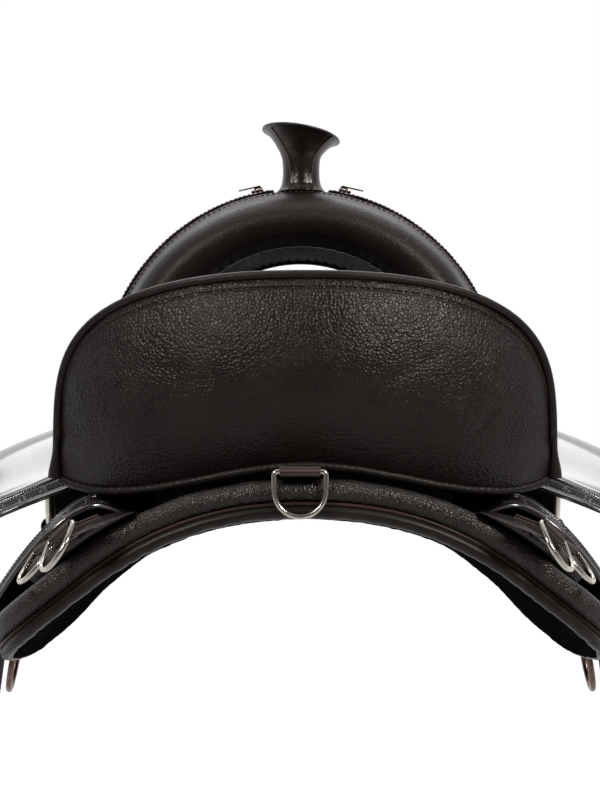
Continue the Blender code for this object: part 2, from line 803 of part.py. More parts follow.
def build_horn():
    seat_z = ARCH_CENTRE_Z + ARCH_OUTER_RADIUS
    base = seat_z + SEAT_GAP
    steps = 11
    bore = HORN_POST_RADIUS + SEAT_GAP
    rings = []
    sides = 18
    heights = [t ** 0.9 for t in even(0.0, 0.94, steps)]
    profile = [(bore, 0.0)] + [(horn_radius(t), t) for t in heights]
    profile += [(HORN_CAP_RADIUS * share, height) for share, height in HORN_CAP_EDGE]
    profile += [(bore, 1.017), (bore, 0.80)]
    for radius, t in profile:
        ring = []
        for k in range(sides):
            turn = 2 * math.pi * k / sides
            ring.append(Vector((radius * math.cos(turn), HORN_Y + radius * math.sin(turn),
                                base + t * HORN_HEIGHT)))
        rings.append(ring)
    horn = loft("horn", rings, LEATHER, wrap_ends=True)
    drop_foot(horn, base)
    tilt_cap(horn, base)

    insert_inner = ARCH_CENTRE_Z + ARCH_INNER_RADIUS_REAR + LINING_SKIN + 3 * GAP
    post = [(0.0, base + 0.90 * HORN_HEIGHT), (HORN_POST_RADIUS, base + 0.90 * HORN_HEIGHT),
            (HORN_POST_RADIUS, insert_inner + 0.012), (0.0, insert_inner + 0.012)]
    horn_post = turned("horn_post", post, 20, NICKEL)
    horn_post.location = (0.0, HORN_Y, 0.0)


def drop_foot(obj, base):
    """Lets the foot of the horn follow the round top of the arch."""
    for vert in obj.data.vertices:
        t = clamp((vert.co.z - base) / HORN_HEIGHT)
        sag = ARCH_OUTER_RADIUS - math.sqrt(ARCH_OUTER_RADIUS ** 2 - vert.co.x ** 2)
        vert.co.z -= sag * (1 - ease(t / 0.35))


# Zips along the top of the arch

def shaped_block(name, length, width, height, finish, nose=1.0, from_end=False):
    """Block along X whose +X end narrows to a share of its width."""
    bm = bmesh.new()
    bmesh.ops.create_cube(bm, size=1.0)
    for vert in bm.verts:
        taper = nose if vert.co.x > 0 else 1.0
        vert.co.x = (vert.co.x + (0.5 if from_end else 0.0)) * length
        vert.co.y *= width * taper
        vert.co.z *= height
    obj = add(name, finished_mesh(name, bm), finish)
    round_edges(obj, height * 0.2)
    return obj


def build_zip(side):
    name = "right" if side > 0 else "left"
    radius = ARCH_OUTER_RADIUS + GAP + ZIP_TAPE_THICKNESS
    middle = POMMEL_REAR_Y + ZIP_FROM_REAR

    def tape(u, v):
        angle = mix(ZIP_START_ANGLE, ZIP_END_ANGLE, v)
        return round_arch(radius, middle + (0.5 - u) * ZIP_TAPE_WIDTH, angle)

    sheet("zip_tape_" + name, tape, even(0.0, 1.0, 1), even(0.0, 1.0, 22), ZIP_TAPE_THICKNESS,
          WEBBING, side=side)

    turn = Matrix.Rotation(side * math.radians(ZIP_SLIDER_ANGLE), 4, "Y")
    place = Matrix.Translation((0.0, middle, ARCH_CENTRE_Z)) @ turn
    outward = Matrix.Rotation(0.0 if side > 0 else math.pi, 4, "Z")
    slider_z = radius + ZIP_SLIDER_HEIGHT / 2 + 2 * SEAT_GAP
    slider = shaped_block("zip_slider_" + name, ZIP_SLIDER_LENGTH, ZIP_SLIDER_WIDTH,
                          ZIP_SLIDER_HEIGHT, NICKEL, nose=0.65)
    slider.data.transform(Matrix.Translation((0.0, 0.0, slider_z)) @ outward)
    slider.matrix_world = place

    pull_z = slider_z + ZIP_SLIDER_HEIGHT / 2 + SEAT_GAP + ZIP_PULL_THICKNESS / 2
    pull = shaped_block("zip_pull_" + name, ZIP_PULL_LENGTH, ZIP_PULL_WIDTH, ZIP_PULL_THICKNESS,
                        NICKEL, nose=0.7, from_end=True)
    hinge = Matrix.Translation((-side * ZIP_SLIDER_LENGTH * 0.35, 0.0, pull_z))
    pull.matrix_world = place @ hinge @ outward


# Side leathers

def perch_height(x):
    """Height of the straight line that the pommel's legs stand on."""
    return ARCH_CENTRE_Z - math.tan(math.radians(ARCH_HALF_ANGLE - 90.0)) * abs(x)


def at_pommel(y):
    """Share of the way from the seat's side into the part under the pommel."""
    return ease((y - 0.030) / 0.075)


def at_rear(y):
    """Share of the way from the seat's side into the part under the cantle."""
    return ease((-0.060 - y) / 0.120)


def jockey_inner(y):
    """Distance from the spine at which the jockey starts, under the seat's edge."""
    return mix(mix(0.142, 0.104, at_pommel(y)), 0.152, at_rear(y))


def jockey_height(x, y):
    """Height of the jockey's face, level with its inner edge inside that edge."""
    inner = jockey_inner(y)
    perch_slope = math.tan(math.radians(ARCH_HALF_ANGLE - 90.0))
    inner_z = mix(mix(0.0785, perch_height(inner) - SEAT_GAP, at_pommel(y)), 0.034, at_rear(y))
    slope = mix(mix(0.15, perch_slope, at_pommel(y)), 0.17, at_rear(y))
    bend = mix(mix(1.6, 2.6, at_pommel(y)), 1.7, at_rear(y))
    reach = max(0.0, x - inner)
    curl = max(0.0, reach - 0.068 * at_pommel(y))
    return inner_z - slope * reach - bend * curl ** 2


def jockey_point(u, v):
    """Upper side leather: u from under the seat outwards, v from the rear forwards."""
    rear_y = through(-0.148, -0.174, -0.160, u)
    front_y = through(JOCKEY_FRONT_Y, JOCKEY_FRONT_Y - 0.028, JOCKEY_FRONT_Y - 0.080, u)
    y = mix(rear_y, front_y, v)
    outer = JOCKEY_OUTER_HALF - 0.020 * at_rear(y) - 0.012 * ease((v - 0.8) / 0.2)
    x = mix(jockey_inner(y), outer, u)
    return Vector((x, y, jockey_height(x, y)))


def skirt_outer(y):
    t = (y - PAD_REAR_Y) / PAD_LENGTH
    return through(PAD_HALF_REAR, PAD_HALF_MIDDLE, PAD_HALF_FRONT, t) + SKIRT_OVERHANG


def skirt_lift(x, y):
    """How far the skirt stands off the pad, over the stuffing at the pad's shoulder."""
    across = clamp((abs(x) - SKIRT_INNER_HALF) / (skirt_outer(y) - SKIRT_INNER_HALF))
    along = 1 - 0.55 * ease((y - 0.020) / 0.080)
    return SKIRT_LIFT * math.sin(math.pi * across) * along


def skirt_face(x, y, height=0.0):
    """Point on the skirt's face over the place x, y, or a height above that face."""
    point = above_back(x, y, PAD_TOP + GAP + SKIRT_THICKNESS + height)
    point.z += skirt_lift(x, y)
    return point


def skirt_point(u, v):
    """Lower side leather, which bulges over the pad's shoulder and falls to its edge."""
    rear_y = through(-0.183, SKIRT_REAR_Y - 0.022, -0.191, u)
    front_y = through(SKIRT_FRONT_Y, SKIRT_FRONT_Y, SKIRT_FRONT_Y - 0.030, u)
    y = mix(rear_y, front_y, v)
    return skirt_face(mix(SKIRT_INNER_HALF, skirt_outer(y), u), y)


def build_side_leathers(side):
    name = "right" if side > 0 else "left"
    sheet("jockey_" + name, jockey_point, even(0.0, 1.0, 7), even(0.0, 1.0, 11),
          JOCKEY_THICKNESS, SMOOTH_LEATHER, side=side, edge=0.0009)
    sheet("skirt_" + name, skirt_point, even(0.0, 1.0, 10), even(0.0, 1.0, 12),
          SKIRT_THICKNESS, SMOOTH_LEATHER, side=side, edge=0.0009)


def panel_point(x, y):
    """Top of the stuffed panel, which slopes down behind the skirt's rear edge."""
    point = above_back(x, y, PAD_TOP + GAP)
    share = mix(PANEL_REAR_SHARE, 1.0, ease((y - PANEL_REAR_Y) / PANEL_REAR_RUN))
    point.z += share * (skirt_lift(x, y) - PANEL_LIFT_CLEARANCE)
    return point


def build_side_stuffing(side):
    """Panel between the pad and the skirt, and wedge between the skirt and the jockey."""
    name = "right" if side > 0 else "left"

    def panel_place(u, v):
        y = mix(PANEL_REAR_Y, PANEL_FRONT_Y, v)
        taper = PANEL_OUTER_TAPER * (1 - ease((y - PANEL_REAR_Y) / PANEL_REAR_RUN))
        return mix(PANEL_INNER_HALF, PANEL_OUTER_HALF - taper, u), y

    def panel_top(u, v):
        return panel_point(*panel_place(u, v))

    def panel_bottom(u, v):
        return above_back(*panel_place(u, v), PAD_TOP + GAP)

    slab("side_panel_" + name, panel_top, panel_bottom, even(0.0, 1.0, 7), even(0.0, 1.0, 11), LEATHER,
         side=side)

    def wedge_place(u, v):
        return mix(WEDGE_INNER_HALF, WEDGE_OUTER_HALF, u), mix(WEDGE_REAR_Y, WEDGE_FRONT_Y, v)

    def wedge_top(u, v):
        x, y = wedge_place(u, v)
        return Vector((x, y, jockey_height(x, y) - JOCKEY_THICKNESS - WEDGE_CLEARANCE))

    def wedge_bottom(u, v):
        return skirt_face(*wedge_place(u, v), SKIRT_CLEARANCE)

    slab("seat_wedge_" + name, wedge_top, wedge_bottom, even(0.0, 1.0, 6), even(0.0, 1.0, 9), FOAM,
         side=side)


def build_pommel_base():
    """Stiff base under the arch, which carries its legs and clears the withers."""
    def place(u, v):
        return u * POMMEL_BASE_HALF, mix(POMMEL_REAR_Y - 0.008, POMMEL_REAR_Y + POMMEL_DEPTH, v)

    def top(u, v):
        x, y = place(u, v)
        return Vector((x, y, perch_height(x) - 2 * GAP - JOCKEY_THICKNESS))

    def bottom(u, v):
        return skirt_face(*place(u, v), SKIRT_CLEARANCE)

    slab("pommel_base", top, bottom, even(-1.0, 1.0, 18), even(0.0, 1.0, 5), COMPOSITE)


# Rings and webbing

def dee_points(width, drop, wire, corner=DEE_CORNER):
    """Centre line of a D-ring: bar along X through the origin, bow towards -Z."""
    half = width / 2 - wire
    low = 2 * wire - drop
    points = []
    for side, turns in ((-1, (180, 90)), (1, (90, 0))):
        for turn in turns:
            a = math.radians(turn)
            x = side * (half - corner) + corner * math.cos(a)
            points.append(Vector((x, 0.0, corner * math.sin(a) - corner)))
    for k in range(9):
        a = math.radians(mix(0, -180, k / 8))
        points.append(Vector((half * math.cos(a), 0.0, low + half + half * math.sin(a))))
    return points


def hanging_frame(origin, normal, down):
    """Matrix with Y square to the carrying surface and -Z the way the ring hangs."""
    y = normal.normalized()
    z = (y * down.dot(y) - down).normalized()
    matrix = Matrix((y.cross(z), y, z)).transposed().to_4x4()
    matrix.translation = origin
    return matrix


def fold_path(bore, ply, under, steps):
    """Middle line of a strap folded round a bar, as (z, y) points from its lower end to its upper.

    The points of under lie on the underside of the lower ply, from the bar outwards.
    """
    radius = bore + ply / 2
    between = ply + PLY_GAP
    meet = math.asin((radius - between) / radius)
    turns = even(math.radians(-90), -2 * math.pi - meet, steps)
    bow = [Vector((radius * math.cos(a), radius * math.sin(a))) for a in turns]
    lower = [Vector((z, y + ply / 2)) for z, y in under]
    return lower[::-1] + bow + [point + Vector((0.0, between)) for point in lower]


def fold_face(path, ply, sign, i):
    """Point on one face of a folded strap, as (z, y), at step i of its middle line."""
    along = path[min(i + 1, len(path) - 1)] - path[max(i - 1, 0)]
    return path[i] + Vector((-along.y, along.x)).normalized() * sign * ply / 2


def folded_strap(name, bore, ply, width, tails, finish, matrix, steps=8):
    """Strap folded round a bar along X, with both plies running up +Z side by side.

    The tails are the strap's undersides from one edge to the other, as lists of (z, y) points.
    """
    paths = [fold_path(bore, ply, under, steps) for under in tails]
    count = len(paths[0]) - 1
    stations = len(paths) - 1

    def face(sign):
        def surface(u, v):
            point = fold_face(paths[round(u * stations)], ply, sign, round(v * count))
            return Vector(((u - 0.5) * width, point.y, point.x))
        return surface

    strap = slab(name, face(1), face(-1), even(0.0, 1.0, stations), even(0.0, 1.0, count), finish)
    strap.matrix_world = matrix
    return strap


def straight_tail(bore, ply, length):
    return [[(length, -bore - ply)]] * 2


def dee_and_tab(name, matrix, tail, droop):
    """D-ring with the webbing tab that holds its bar; the ring hangs steeper by a droop."""
    bore = WIRE_RADIUS + PIVOT_CLEARANCE
    points = dee_points(DEE_WIDTH, DEE_DROP, WIRE_RADIUS)
    hang = matrix @ Matrix.Rotation(math.radians(-droop), 4, "X")
    tube(name, points, WIRE_RADIUS, NICKEL, cyclic=True).matrix_world = hang
    folded_strap(name + "_tab", bore, TAB_PLY, WEBBING_WIDTH, tail, WEBBING, matrix)


def ring_ground(x, y):
    """What a side ring's tab lies on: the skirt, or the panel behind the skirt's rear edge."""
    if y < SKIRT_REAR_Y:
        return panel_point(x, y)
    return skirt_face(x, y)


def on_ring_ground(x, y, side, height):
    """Point above what the tab lies on, its outward normal, and the ways across and along it."""
    step = 0.004
    across = ring_ground(x + step, y) - ring_ground(x - step, y)
    along = ring_ground(x, y + step) - ring_ground(x, y - step)
    normal = across.cross(along).normalized()
    point = ring_ground(x, y) + normal * height
    mirror = Vector((side, 1, 1))
    return point * mirror, normal * mirror, across.normalized() * mirror, along.normalized() * mirror


def tail_on_ground(matrix, across, side, lift):
    """Underside of a side tab's tail, as (z, y) points in the tab's own frame."""
    to_local = matrix.inverted()
    tail = []
    for reach in even(SIDE_TAB_BEND, SIDE_TAB_LENGTH, 3):
        under = matrix @ Vector((across * WEBBING_WIDTH, 0.0, reach))
        rest = to_local @ on_ring_ground(abs(under.x), under.y, side, lift)[0]
        tail.append((rest.z, rest.y))
    return tail


def build_rings():
    loop = WIRE_RADIUS + PIVOT_CLEARANCE + TAB_PLY
    rear_z = PAD_TOP + SEAT_GAP + loop
    matrix = hanging_frame(Vector((REAR_TAB_X, PAD_REAR_Y - loop - SEAT_GAP, rear_z)),
                           Vector((0, -1, 0)), Vector((0, 0, -1)))
    rear_center_tab(matrix)
    for side in (1, -1):
        name = "right" if side > 0 else "left"
        for place, x, y, sweep, droop, lift in RING_PLACES:
            point, normal, across, along = on_ring_ground(x, y, side, loop + lift)
            turn = math.radians(sweep)
            down = across * math.cos(turn) - along * math.sin(turn)
            matrix = hanging_frame(point, normal, down)
            tail = [tail_on_ground(matrix, x, side, lift) for x in (-0.5, 0.0, 0.5)]
            dee_and_tab("%s_dee_%s" % (place, name), matrix, tail, droop)


def rear_center_tab(matrix):
    """Ring behind the pad's rear edge; its tab runs forwards over the pad, under the hem."""
    points = dee_points(DEE_WIDTH, DEE_DROP, WIRE_RADIUS)
    tube("rear_dee", points, WIRE_RADIUS, NICKEL, cyclic=True).matrix_world = matrix
    bore = WIRE_RADIUS + PIVOT_CLEARANCE
    forward = hanging_frame(matrix.translation, Vector((0, 0, 1)), Vector((0, -1, 0)))
    folded_strap("rear_dee_tab", bore, TAB_PLY, WEBBING_WIDTH,
                 straight_tail(bore, TAB_PLY, REAR_TAB_LENGTH), WEBBING, forward)


# Rigging: webbing over the skirts to the cinch ring, and the rear billets

STRAP_DOWN = Vector((STRAP_LEAN, 0.0, -1.0)).normalized()
STRAP_STEPS = even(0.0, STRAP_TURN, 6) + even(STRAP_TURN, 1.0, 3)[1:]


def strap_surface(y, start, hang):
    """Webbing laid over the skirt at a place y, which hangs past the skirt's outer edge."""
    end = skirt_outer(y) + STRAP_OVERHANG

    def surface(u, v):
        along = y + (0.5 - u) * WEBBING_WIDTH
        x = mix(start, end, clamp(v / STRAP_TURN))
        point = skirt_face(x, along, STRAP_CLEARANCE + WEBBING_THICKNESS)
        return point + STRAP_DOWN * max(0.0, v - STRAP_TURN) / (1 - STRAP_TURN) * hang
    return surface


def build_rear_billet(side, name):
    surface = strap_surface(REAR_BILLET_Y, REAR_BILLET_START, REAR_BILLET_HANG)
    sheet("rear_billet_" + name, surface, even(0.0, 1.0, 2), STRAP_STEPS, WEBBING_THICKNESS,
          BLACK_WEBBING, side=side)


def build_rigging(side):
    """Rigging strap, whose lower end is folded round the cinch ring, worked out for the right."""
    name = "right" if side > 0 else "left"
    build_rear_billet(side, name)
    upper = strap_surface(RIGGING_Y, RIGGING_START, RIGGING_HANG)
    bore = CINCH_WIRE_RADIUS + PIVOT_CLEARANCE
    tail = CINCH_TAIL + bore
    normal = Vector((-STRAP_DOWN.z, 0.0, STRAP_DOWN.x))
    pivot = upper(0.5, 1.0) + STRAP_DOWN * (tail + 2 * GAP) + normal * bore
    path = fold_path(bore, TAB_PLY, straight_tail(bore, TAB_PLY, tail)[0], 8)
    path[-1] = path[-2].lerp(path[-1], CINCH_FREE_PLY)
    matrix = hanging_frame(pivot, normal, STRAP_DOWN)
    laid = len(STRAP_STEPS)

    def lower(u, v):
        return upper(u, v) - surface_normal(upper, u, v, step=0.05) * WEBBING_THICKNESS

    def face(strap, sign):
        def surface(u, step):
            if step < laid:
                return strap(u, STRAP_STEPS[step])
            point = fold_face(path, TAB_PLY, sign, step - laid)
            return matrix @ Vector(((u - 0.5) * WEBBING_WIDTH, point.y, point.x))
        return surface

    slab("rigging_strap_" + name, face(upper, -1), face(lower, 1), even(0.0, 1.0, 2),
         range(laid + len(path)), BLACK_WEBBING, side=side)

    mirror = Vector((side, 1, 1))
    across = 2 * CINCH_RING_RADIUS
    ring = dee_points(across, across, CINCH_WIRE_RADIUS, corner=CINCH_RING_CORNER)
    hung = hanging_frame(pivot * mirror, normal * mirror, STRAP_DOWN * mirror)
    tube("cinch_ring_" + name, ring, CINCH_WIRE_RADIUS, NICKEL, cyclic=True).matrix_world = hung


# Fenders and stirrups

def fender_inner(drop):
    """Distance from the spine of the fender's inner face, at a drop below the swing axis."""
    below = max(0.0, drop - SLEEVE_REACH)
    lean = math.tan(math.radians(FENDER_LEAN)) * below
    return FENDER_TOP_HALF + lean + FENDER_KICK * ease(below / FENDER_KICK_LENGTH)


def fender_half_width(drop):
    """Half the fender's width: narrow at the top, full at the calf, narrow at the neck."""
    swell = ease((drop - 0.055) / 0.150)
    neck = ease((drop - 0.270) / (FENDER_DROP - 0.290))
    full = mix(FENDER_TOP_WIDTH, FENDER_WIDTH, swell)
    return mix(full, FENDER_NECK_WIDTH, neck) / 2


def fender_point(u, v):
    top_half = (1 - 2 * u) * FENDER_TOP_WIDTH / 2
    drop = mix(math.sqrt((SLEEVE_REACH - SLEEVE_LAP) ** 2 - top_half ** 2), FENDER_DROP, v)
    y = SWING_Y + (1 - 2 * u) * fender_half_width(drop)
    return Vector((fender_inner(drop) + FENDER_THICKNESS, y, SWING_Z - drop))


def hanger_point(turn, radius=None):
    """Point of the stirrup dee's bow, at an angle in degrees from straight down."""
    a = math.radians(turn)
    radius = HANGER_RADIUS if radius is None else radius
    return Vector((SWING_HALF, SWING_Y + radius * math.sin(a), SWING_Z - radius * math.cos(a)))


def pivot_at(obj, point):
    """Moves an object's origin to a point and leaves its shape where it is."""
    obj.data.transform(Matrix.Translation(point).inverted() @ obj.matrix_world)
    obj.matrix_world = Matrix.Translation(point)


def build_fender(side):
    name = "right" if side > 0 else "left"
    mirror = Vector((side, 1, 1))
    axis = Vector((side * SWING_HALF, SWING_Y, SWING_Z))

    corner = math.radians(HANGER_BAR_ANGLE)
    bar_z = SWING_Z + HANGER_RADIUS * math.cos(math.pi - corner)
    bow = [hanger_point(turn) * mirror for turn in even(-HANGER_BAR_ANGLE, HANGER_BAR_ANGLE, 16)]
    tube("stirrup_dee_" + name, bow, HANGER_WIRE_RADIUS, NICKEL, cyclic=True)

    bore = HANGER_WIRE_RADIUS + PIVOT_CLEARANCE
    bar = Vector((side * SWING_HALF, SWING_Y, bar_z))
    rise = Vector((-side, 0, HANGER_RISE)).normalized()
    matrix = hanging_frame(bar, Vector((0, 0, 1)) + side * HANGER_RISE * Vector((1, 0, 0)), -rise)
    reach = (SWING_HALF - GROUND_SEAT_HALF - 2 * GAP) / abs(rise.x)
    folded_strap("stirrup_hanger_" + name, bore, HANGER_PLY, HANGER_STRAP_WIDTH,
                 straight_tail(bore, HANGER_PLY, reach), BLACK_WEBBING, matrix)

    rings = []
    sides = 8
    spread_turns = even(-SLEEVE_HALF_ANGLE, SLEEVE_HALF_ANGLE, 6)
    inside = (bore + PIVOT_CLEARANCE) / math.cos(math.pi / sides)
    for turns, radius in ((spread_turns, bore + SLEEVE_THICKNESS), (spread_turns[::-1], inside)):
        for turn in turns:
            ring = []
            for k in range(sides):
                a = 2 * math.pi * k / sides
                point = hanger_point(turn, HANGER_RADIUS + radius * math.cos(a))
                point.x += radius * math.sin(a)
                ring.append(point * mirror)
            rings.append(ring)
    sleeve = loft("fender_sleeve_" + name, rings, SMOOTH_LEATHER, wrap_ends=True, where="cutters")
    sleeve.hide_render = True
    pivot_at(sleeve, axis)

    fender = sheet("fender_" + name, fender_point, even(0.0, 1.0, 3), even(0.0, 1.0, 14),
                   FENDER_THICKNESS, SMOOTH_LEATHER, side=side, edge=0.0012)
    pivot_at(fender, axis)
    join = fender.modifiers.new("Sewn sleeve", "BOOLEAN")
    join.operation = "UNION"
    join.object = sleeve
    build_stirrup(side, axis)


def build_stirrup(side, swing_axis):
    name = "right" if side > 0 else "left"
    lean = math.radians(FENDER_LEAN)
    normal = Vector((side * math.cos(lean), 0, math.sin(lean)))
    down = Vector((side * math.sin(lean), 0, -math.cos(lean)))
    bore = STIRRUP_BOLT_RADIUS + PIVOT_CLEARANCE
    outer = bore + STIRRUP_LOOP_PLY
    end = Vector((side * (fender_inner(FENDER_DROP) + FENDER_THICKNESS), SWING_Y, SWING_Z - FENDER_DROP))
    bolt = end + normal * (outer + SEAT_GAP) + down * STIRRUP_BOLT_BELOW
    loop = folded_strap("stirrup_loop_" + name, bore, STIRRUP_LOOP_PLY, STIRRUP_LOOP_WIDTH,
                        straight_tail(bore, STIRRUP_LOOP_PLY, STIRRUP_LOOP_TAIL), SMOOTH_LEATHER,
                        hanging_frame(bolt, normal, down))
    pivot_at(loop, swing_axis)

    shank = [(0.0, STIRRUP_EAR_HALF + 0.007), (STIRRUP_BOLT_RADIUS * 1.7, STIRRUP_EAR_HALF + 0.007),
             (STIRRUP_BOLT_RADIUS * 1.7, STIRRUP_EAR_HALF + STIRRUP_THICKNESS / 2 + SEAT_GAP)]
    half = [(STIRRUP_BOLT_RADIUS, z) for _, z in shank[-1:]]
    profile = shank + half + [(r, -z) for r, z in (shank + half)[::-1]]
    pin = turned("stirrup_bolt_" + name, profile, 12, NICKEL)
    pin.matrix_world = Matrix.Translation(bolt) @ Matrix.Rotation(math.radians(90), 4, "X")

    knots = [Vector((s, z)) for s, z in STIRRUP_SIDE]
    right = smooth_through(knots, 8)
    path = [Vector((-p.x, p.y)) for p in right] + right[::-1]
    rings = []
    for i, point in enumerate(path):
        along = path[min(i + 1, len(path) - 1)] - path[max(i - 1, 0)]
        across = Vector((-along.y, along.x)).normalized() * STIRRUP_THICKNESS / 2
        depth = mix(STIRRUP_EAR_DEPTH, STIRRUP_DEPTH, ease((-0.020 - point.y) / 0.085)) / 2
        corners = []
        for x, sign in ((-1, -1), (1, -1), (1, 1), (-1, 1)):
            edge = point + across * sign
            corners.append(Vector((x * depth, edge.x, edge.y)))
        rings.append(corners)
    stirrup = loft("stirrup_" + name, rings, COMPOSITE)
    stirrup.matrix_world = Matrix.Translation(bolt)
    hole = cutter("stirrup_bolt_hole_" + name, STIRRUP_BOLT_RADIUS + PIVOT_CLEARANCE, -0.060, 0.060)
    hole.matrix_world = pin.matrix_world
    cut = stirrup.modifiers.new("Bolt hole", "BOOLEAN")
    cut.operation = "DIFFERENCE"
    cut.object = hole
    round_edges(stirrup, 0.0015)


def main():
    clear_scene()
    collection("saddle")
    collection("cutters")
    build_pad()
    build_ground_seat()
    build_seat()
    build_cantle()
    build_pommel_base()
    build_pommel()
    build_horn()
    build_rings()
    for side in (1, -1):
        build_zip(side)
        build_side_leathers(side)
        build_side_stuffing(side)
        build_rigging(side)
        build_fender(side)


main()
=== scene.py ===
"""Treeless saddle of dark brown leather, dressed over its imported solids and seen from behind.

Metres, +Z up, +Y towards the horse's head, +X to the horse's right side, as in the solids.
"""
import math

import bmesh
import bpy
import numpy as np
from mathutils import Matrix, Vector, noise


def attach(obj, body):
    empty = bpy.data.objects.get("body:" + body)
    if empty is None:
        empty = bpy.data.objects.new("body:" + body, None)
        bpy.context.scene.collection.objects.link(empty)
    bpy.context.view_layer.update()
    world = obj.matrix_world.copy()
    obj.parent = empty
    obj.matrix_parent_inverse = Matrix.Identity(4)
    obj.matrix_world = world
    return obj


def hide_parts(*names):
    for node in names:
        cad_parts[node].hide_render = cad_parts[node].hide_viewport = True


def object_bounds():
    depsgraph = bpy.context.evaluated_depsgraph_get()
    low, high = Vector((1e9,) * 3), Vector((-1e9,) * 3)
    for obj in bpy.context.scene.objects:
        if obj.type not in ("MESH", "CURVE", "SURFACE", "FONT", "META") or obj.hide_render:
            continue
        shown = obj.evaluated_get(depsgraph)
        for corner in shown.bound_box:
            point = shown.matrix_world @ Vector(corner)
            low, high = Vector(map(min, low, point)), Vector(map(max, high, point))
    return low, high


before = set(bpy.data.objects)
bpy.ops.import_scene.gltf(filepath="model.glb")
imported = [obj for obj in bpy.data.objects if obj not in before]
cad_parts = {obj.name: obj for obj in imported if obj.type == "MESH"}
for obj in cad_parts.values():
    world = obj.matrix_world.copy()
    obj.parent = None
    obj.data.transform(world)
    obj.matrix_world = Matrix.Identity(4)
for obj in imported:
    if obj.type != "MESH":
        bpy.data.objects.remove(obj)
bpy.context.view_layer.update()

SIDES = (("right", 1), ("left", -1))

# Driving sizes, the same as the solids have
GAP = 0.0008
SEAT_GAP = 0.0004
FLANK_SLOPE_REAR = 0.74
FLANK_SLOPE_FRONT = 0.87
CROWN_HALF_REAR = 0.160
CROWN_HALF_FRONT = 0.110
CROWN_POWER = 2.3
BACK_LOW_Y = -0.080
BACK_LOW_DEPTH = 0.008
WITHERS_LIFT = 0.033
PAD_REAR_Y = -0.290
PAD_LENGTH = 0.580
PAD_FRONT_Y = PAD_REAR_Y + PAD_LENGTH
PAD_HALF_REAR = 0.236
PAD_HALF_MIDDLE = 0.221
PAD_HALF_FRONT = 0.212
PAD_CORNER_POWER = 7.0
PAD_CORNER_REACH = 0.982
PAD_END_SWEEP = 0.028
LINING_THICKNESS = 0.0105
PAD_THICKNESS = 0.0190
PAD_TOP = LINING_THICKNESS + GAP + PAD_THICKNESS
SPINE_GROOVE_DEPTH = 0.004
SPINE_GROOVE_HALF = 0.035
CANTLE_HALF_WIDTH = 0.1865
CANTLE_FOOT_Z = 0.030
CANTLE_HEIGHT = 0.1466
CANTLE_SIDE_POWER = 2.4
CANTLE_TOP_POWER = 4.5
CANTLE_REAR_Y = -0.262
CANTLE_WRAP = 0.072
CANTLE_BULGE = 0.017
CANTLE_EDGE_SHARE = 0.90
CANTLE_HEM_DROP = 0.0200
CANTLE_HEM_HALF = 0.150
CANTLE_HEM_CORNER_LIFT = 0.008
CANTLE_HEM_Z = 0.0415
LEATHER_THICKNESS = 0.003
WELT_RADIUS = 0.0035
BINDING_RADIUS = 0.0034
SEAT_FRONT_Y = 0.104
SEAT_FRONT_HALF = 0.088
SEAT_FRONT_Z = 0.122
SEAT_FRONT_SIDE_Z = 0.112
SEAT_MIDDLE_HALF = 0.148
SEAT_MIDDLE_Z = 0.110
SEAT_MIDDLE_SIDE_Z = 0.097
SEAT_THICKNESS = 0.018
SEAT_EDGE_THICKNESS = 0.0085
SEAT_SIDE_TUCK = 0.012
SEAT_TOP_DEPTH = 0.0055
ARCH_CENTRE_Z = 0.097
ARCH_HALF_ANGLE = 100.0
POMMEL_REAR_Y = 0.112
POMMEL_DEPTH = 0.124
ARCH_INNER_RADIUS_REAR = 0.126
ARCH_INNER_RADIUS_FRONT = 0.1145
ARCH_OUTER_RADIUS = 0.1755
POMMEL_SKIN = 0.0030
LINING_SKIN = 0.0026
HORN_CAP_RADIUS = 0.0345
HORN_NECK_RADIUS = 0.0170
HORN_HEIGHT = 0.051
HORN_CAP_TILT_SIDE = 9.5
HORN_CAP_TILT_FRONT = 10.0
HORN_Y = 0.172
ZIP_TAPE_WIDTH = 0.024
ZIP_TAPE_THICKNESS = 0.0014
ZIP_START_ANGLE = 8.0
ZIP_END_ANGLE = 80.0
ZIP_SLIDER_ANGLE = 12.5
ZIP_SLIDER_LENGTH = 0.0110
ZIP_SLIDER_WIDTH = 0.0090
ZIP_SLIDER_HEIGHT = 0.0042
ZIP_PULL_LENGTH = 0.020
ZIP_PULL_WIDTH = 0.0070
ZIP_PULL_THICKNESS = 0.0012
ZIP_FROM_REAR = 0.063
JOCKEY_THICKNESS = 0.0035
JOCKEY_FRONT_Y = 0.232
JOCKEY_OUTER_HALF = 0.292
SKIRT_THICKNESS = 0.0040
SKIRT_REAR_Y = -0.195
SKIRT_FRONT_Y = 0.238
SKIRT_INNER_HALF = 0.118
SKIRT_OVERHANG = 0.020
SKIRT_LIFT = 0.030
SKIRT_FLARE = 0.0095
PANEL_INNER_HALF = 0.126
PANEL_OUTER_HALF = 0.212
PANEL_REAR_Y = -0.283
PANEL_FRONT_Y = 0.010
PANEL_OUTER_TAPER = 0.031
PANEL_LIFT_CLEARANCE = 0.0022
PANEL_REAR_SHARE = 0.36
PANEL_REAR_RUN = 0.078
WIRE_RADIUS = 0.0020
DEE_WIDTH = 0.042
DEE_DROP = 0.037
WEBBING_WIDTH = 0.030
WEBBING_THICKNESS = 0.0026
TAB_PLY = 0.0014
PLY_GAP = 0.0006
PIVOT_CLEARANCE = 0.0004
CINCH_WIRE_RADIUS = 0.0028
CINCH_RING_RADIUS = 0.0290
CINCH_TAIL = 0.012
REAR_TAB_LENGTH = 0.038
REAR_TAB_X = -0.005
SIDE_TAB_LENGTH = 0.028
SIDE_TAB_BEND = 0.010
RIGGING_Y = 0.180
RIGGING_START = 0.178
RIGGING_HANG = 0.020
REAR_BILLET_Y = -0.150
REAR_BILLET_START = 0.165
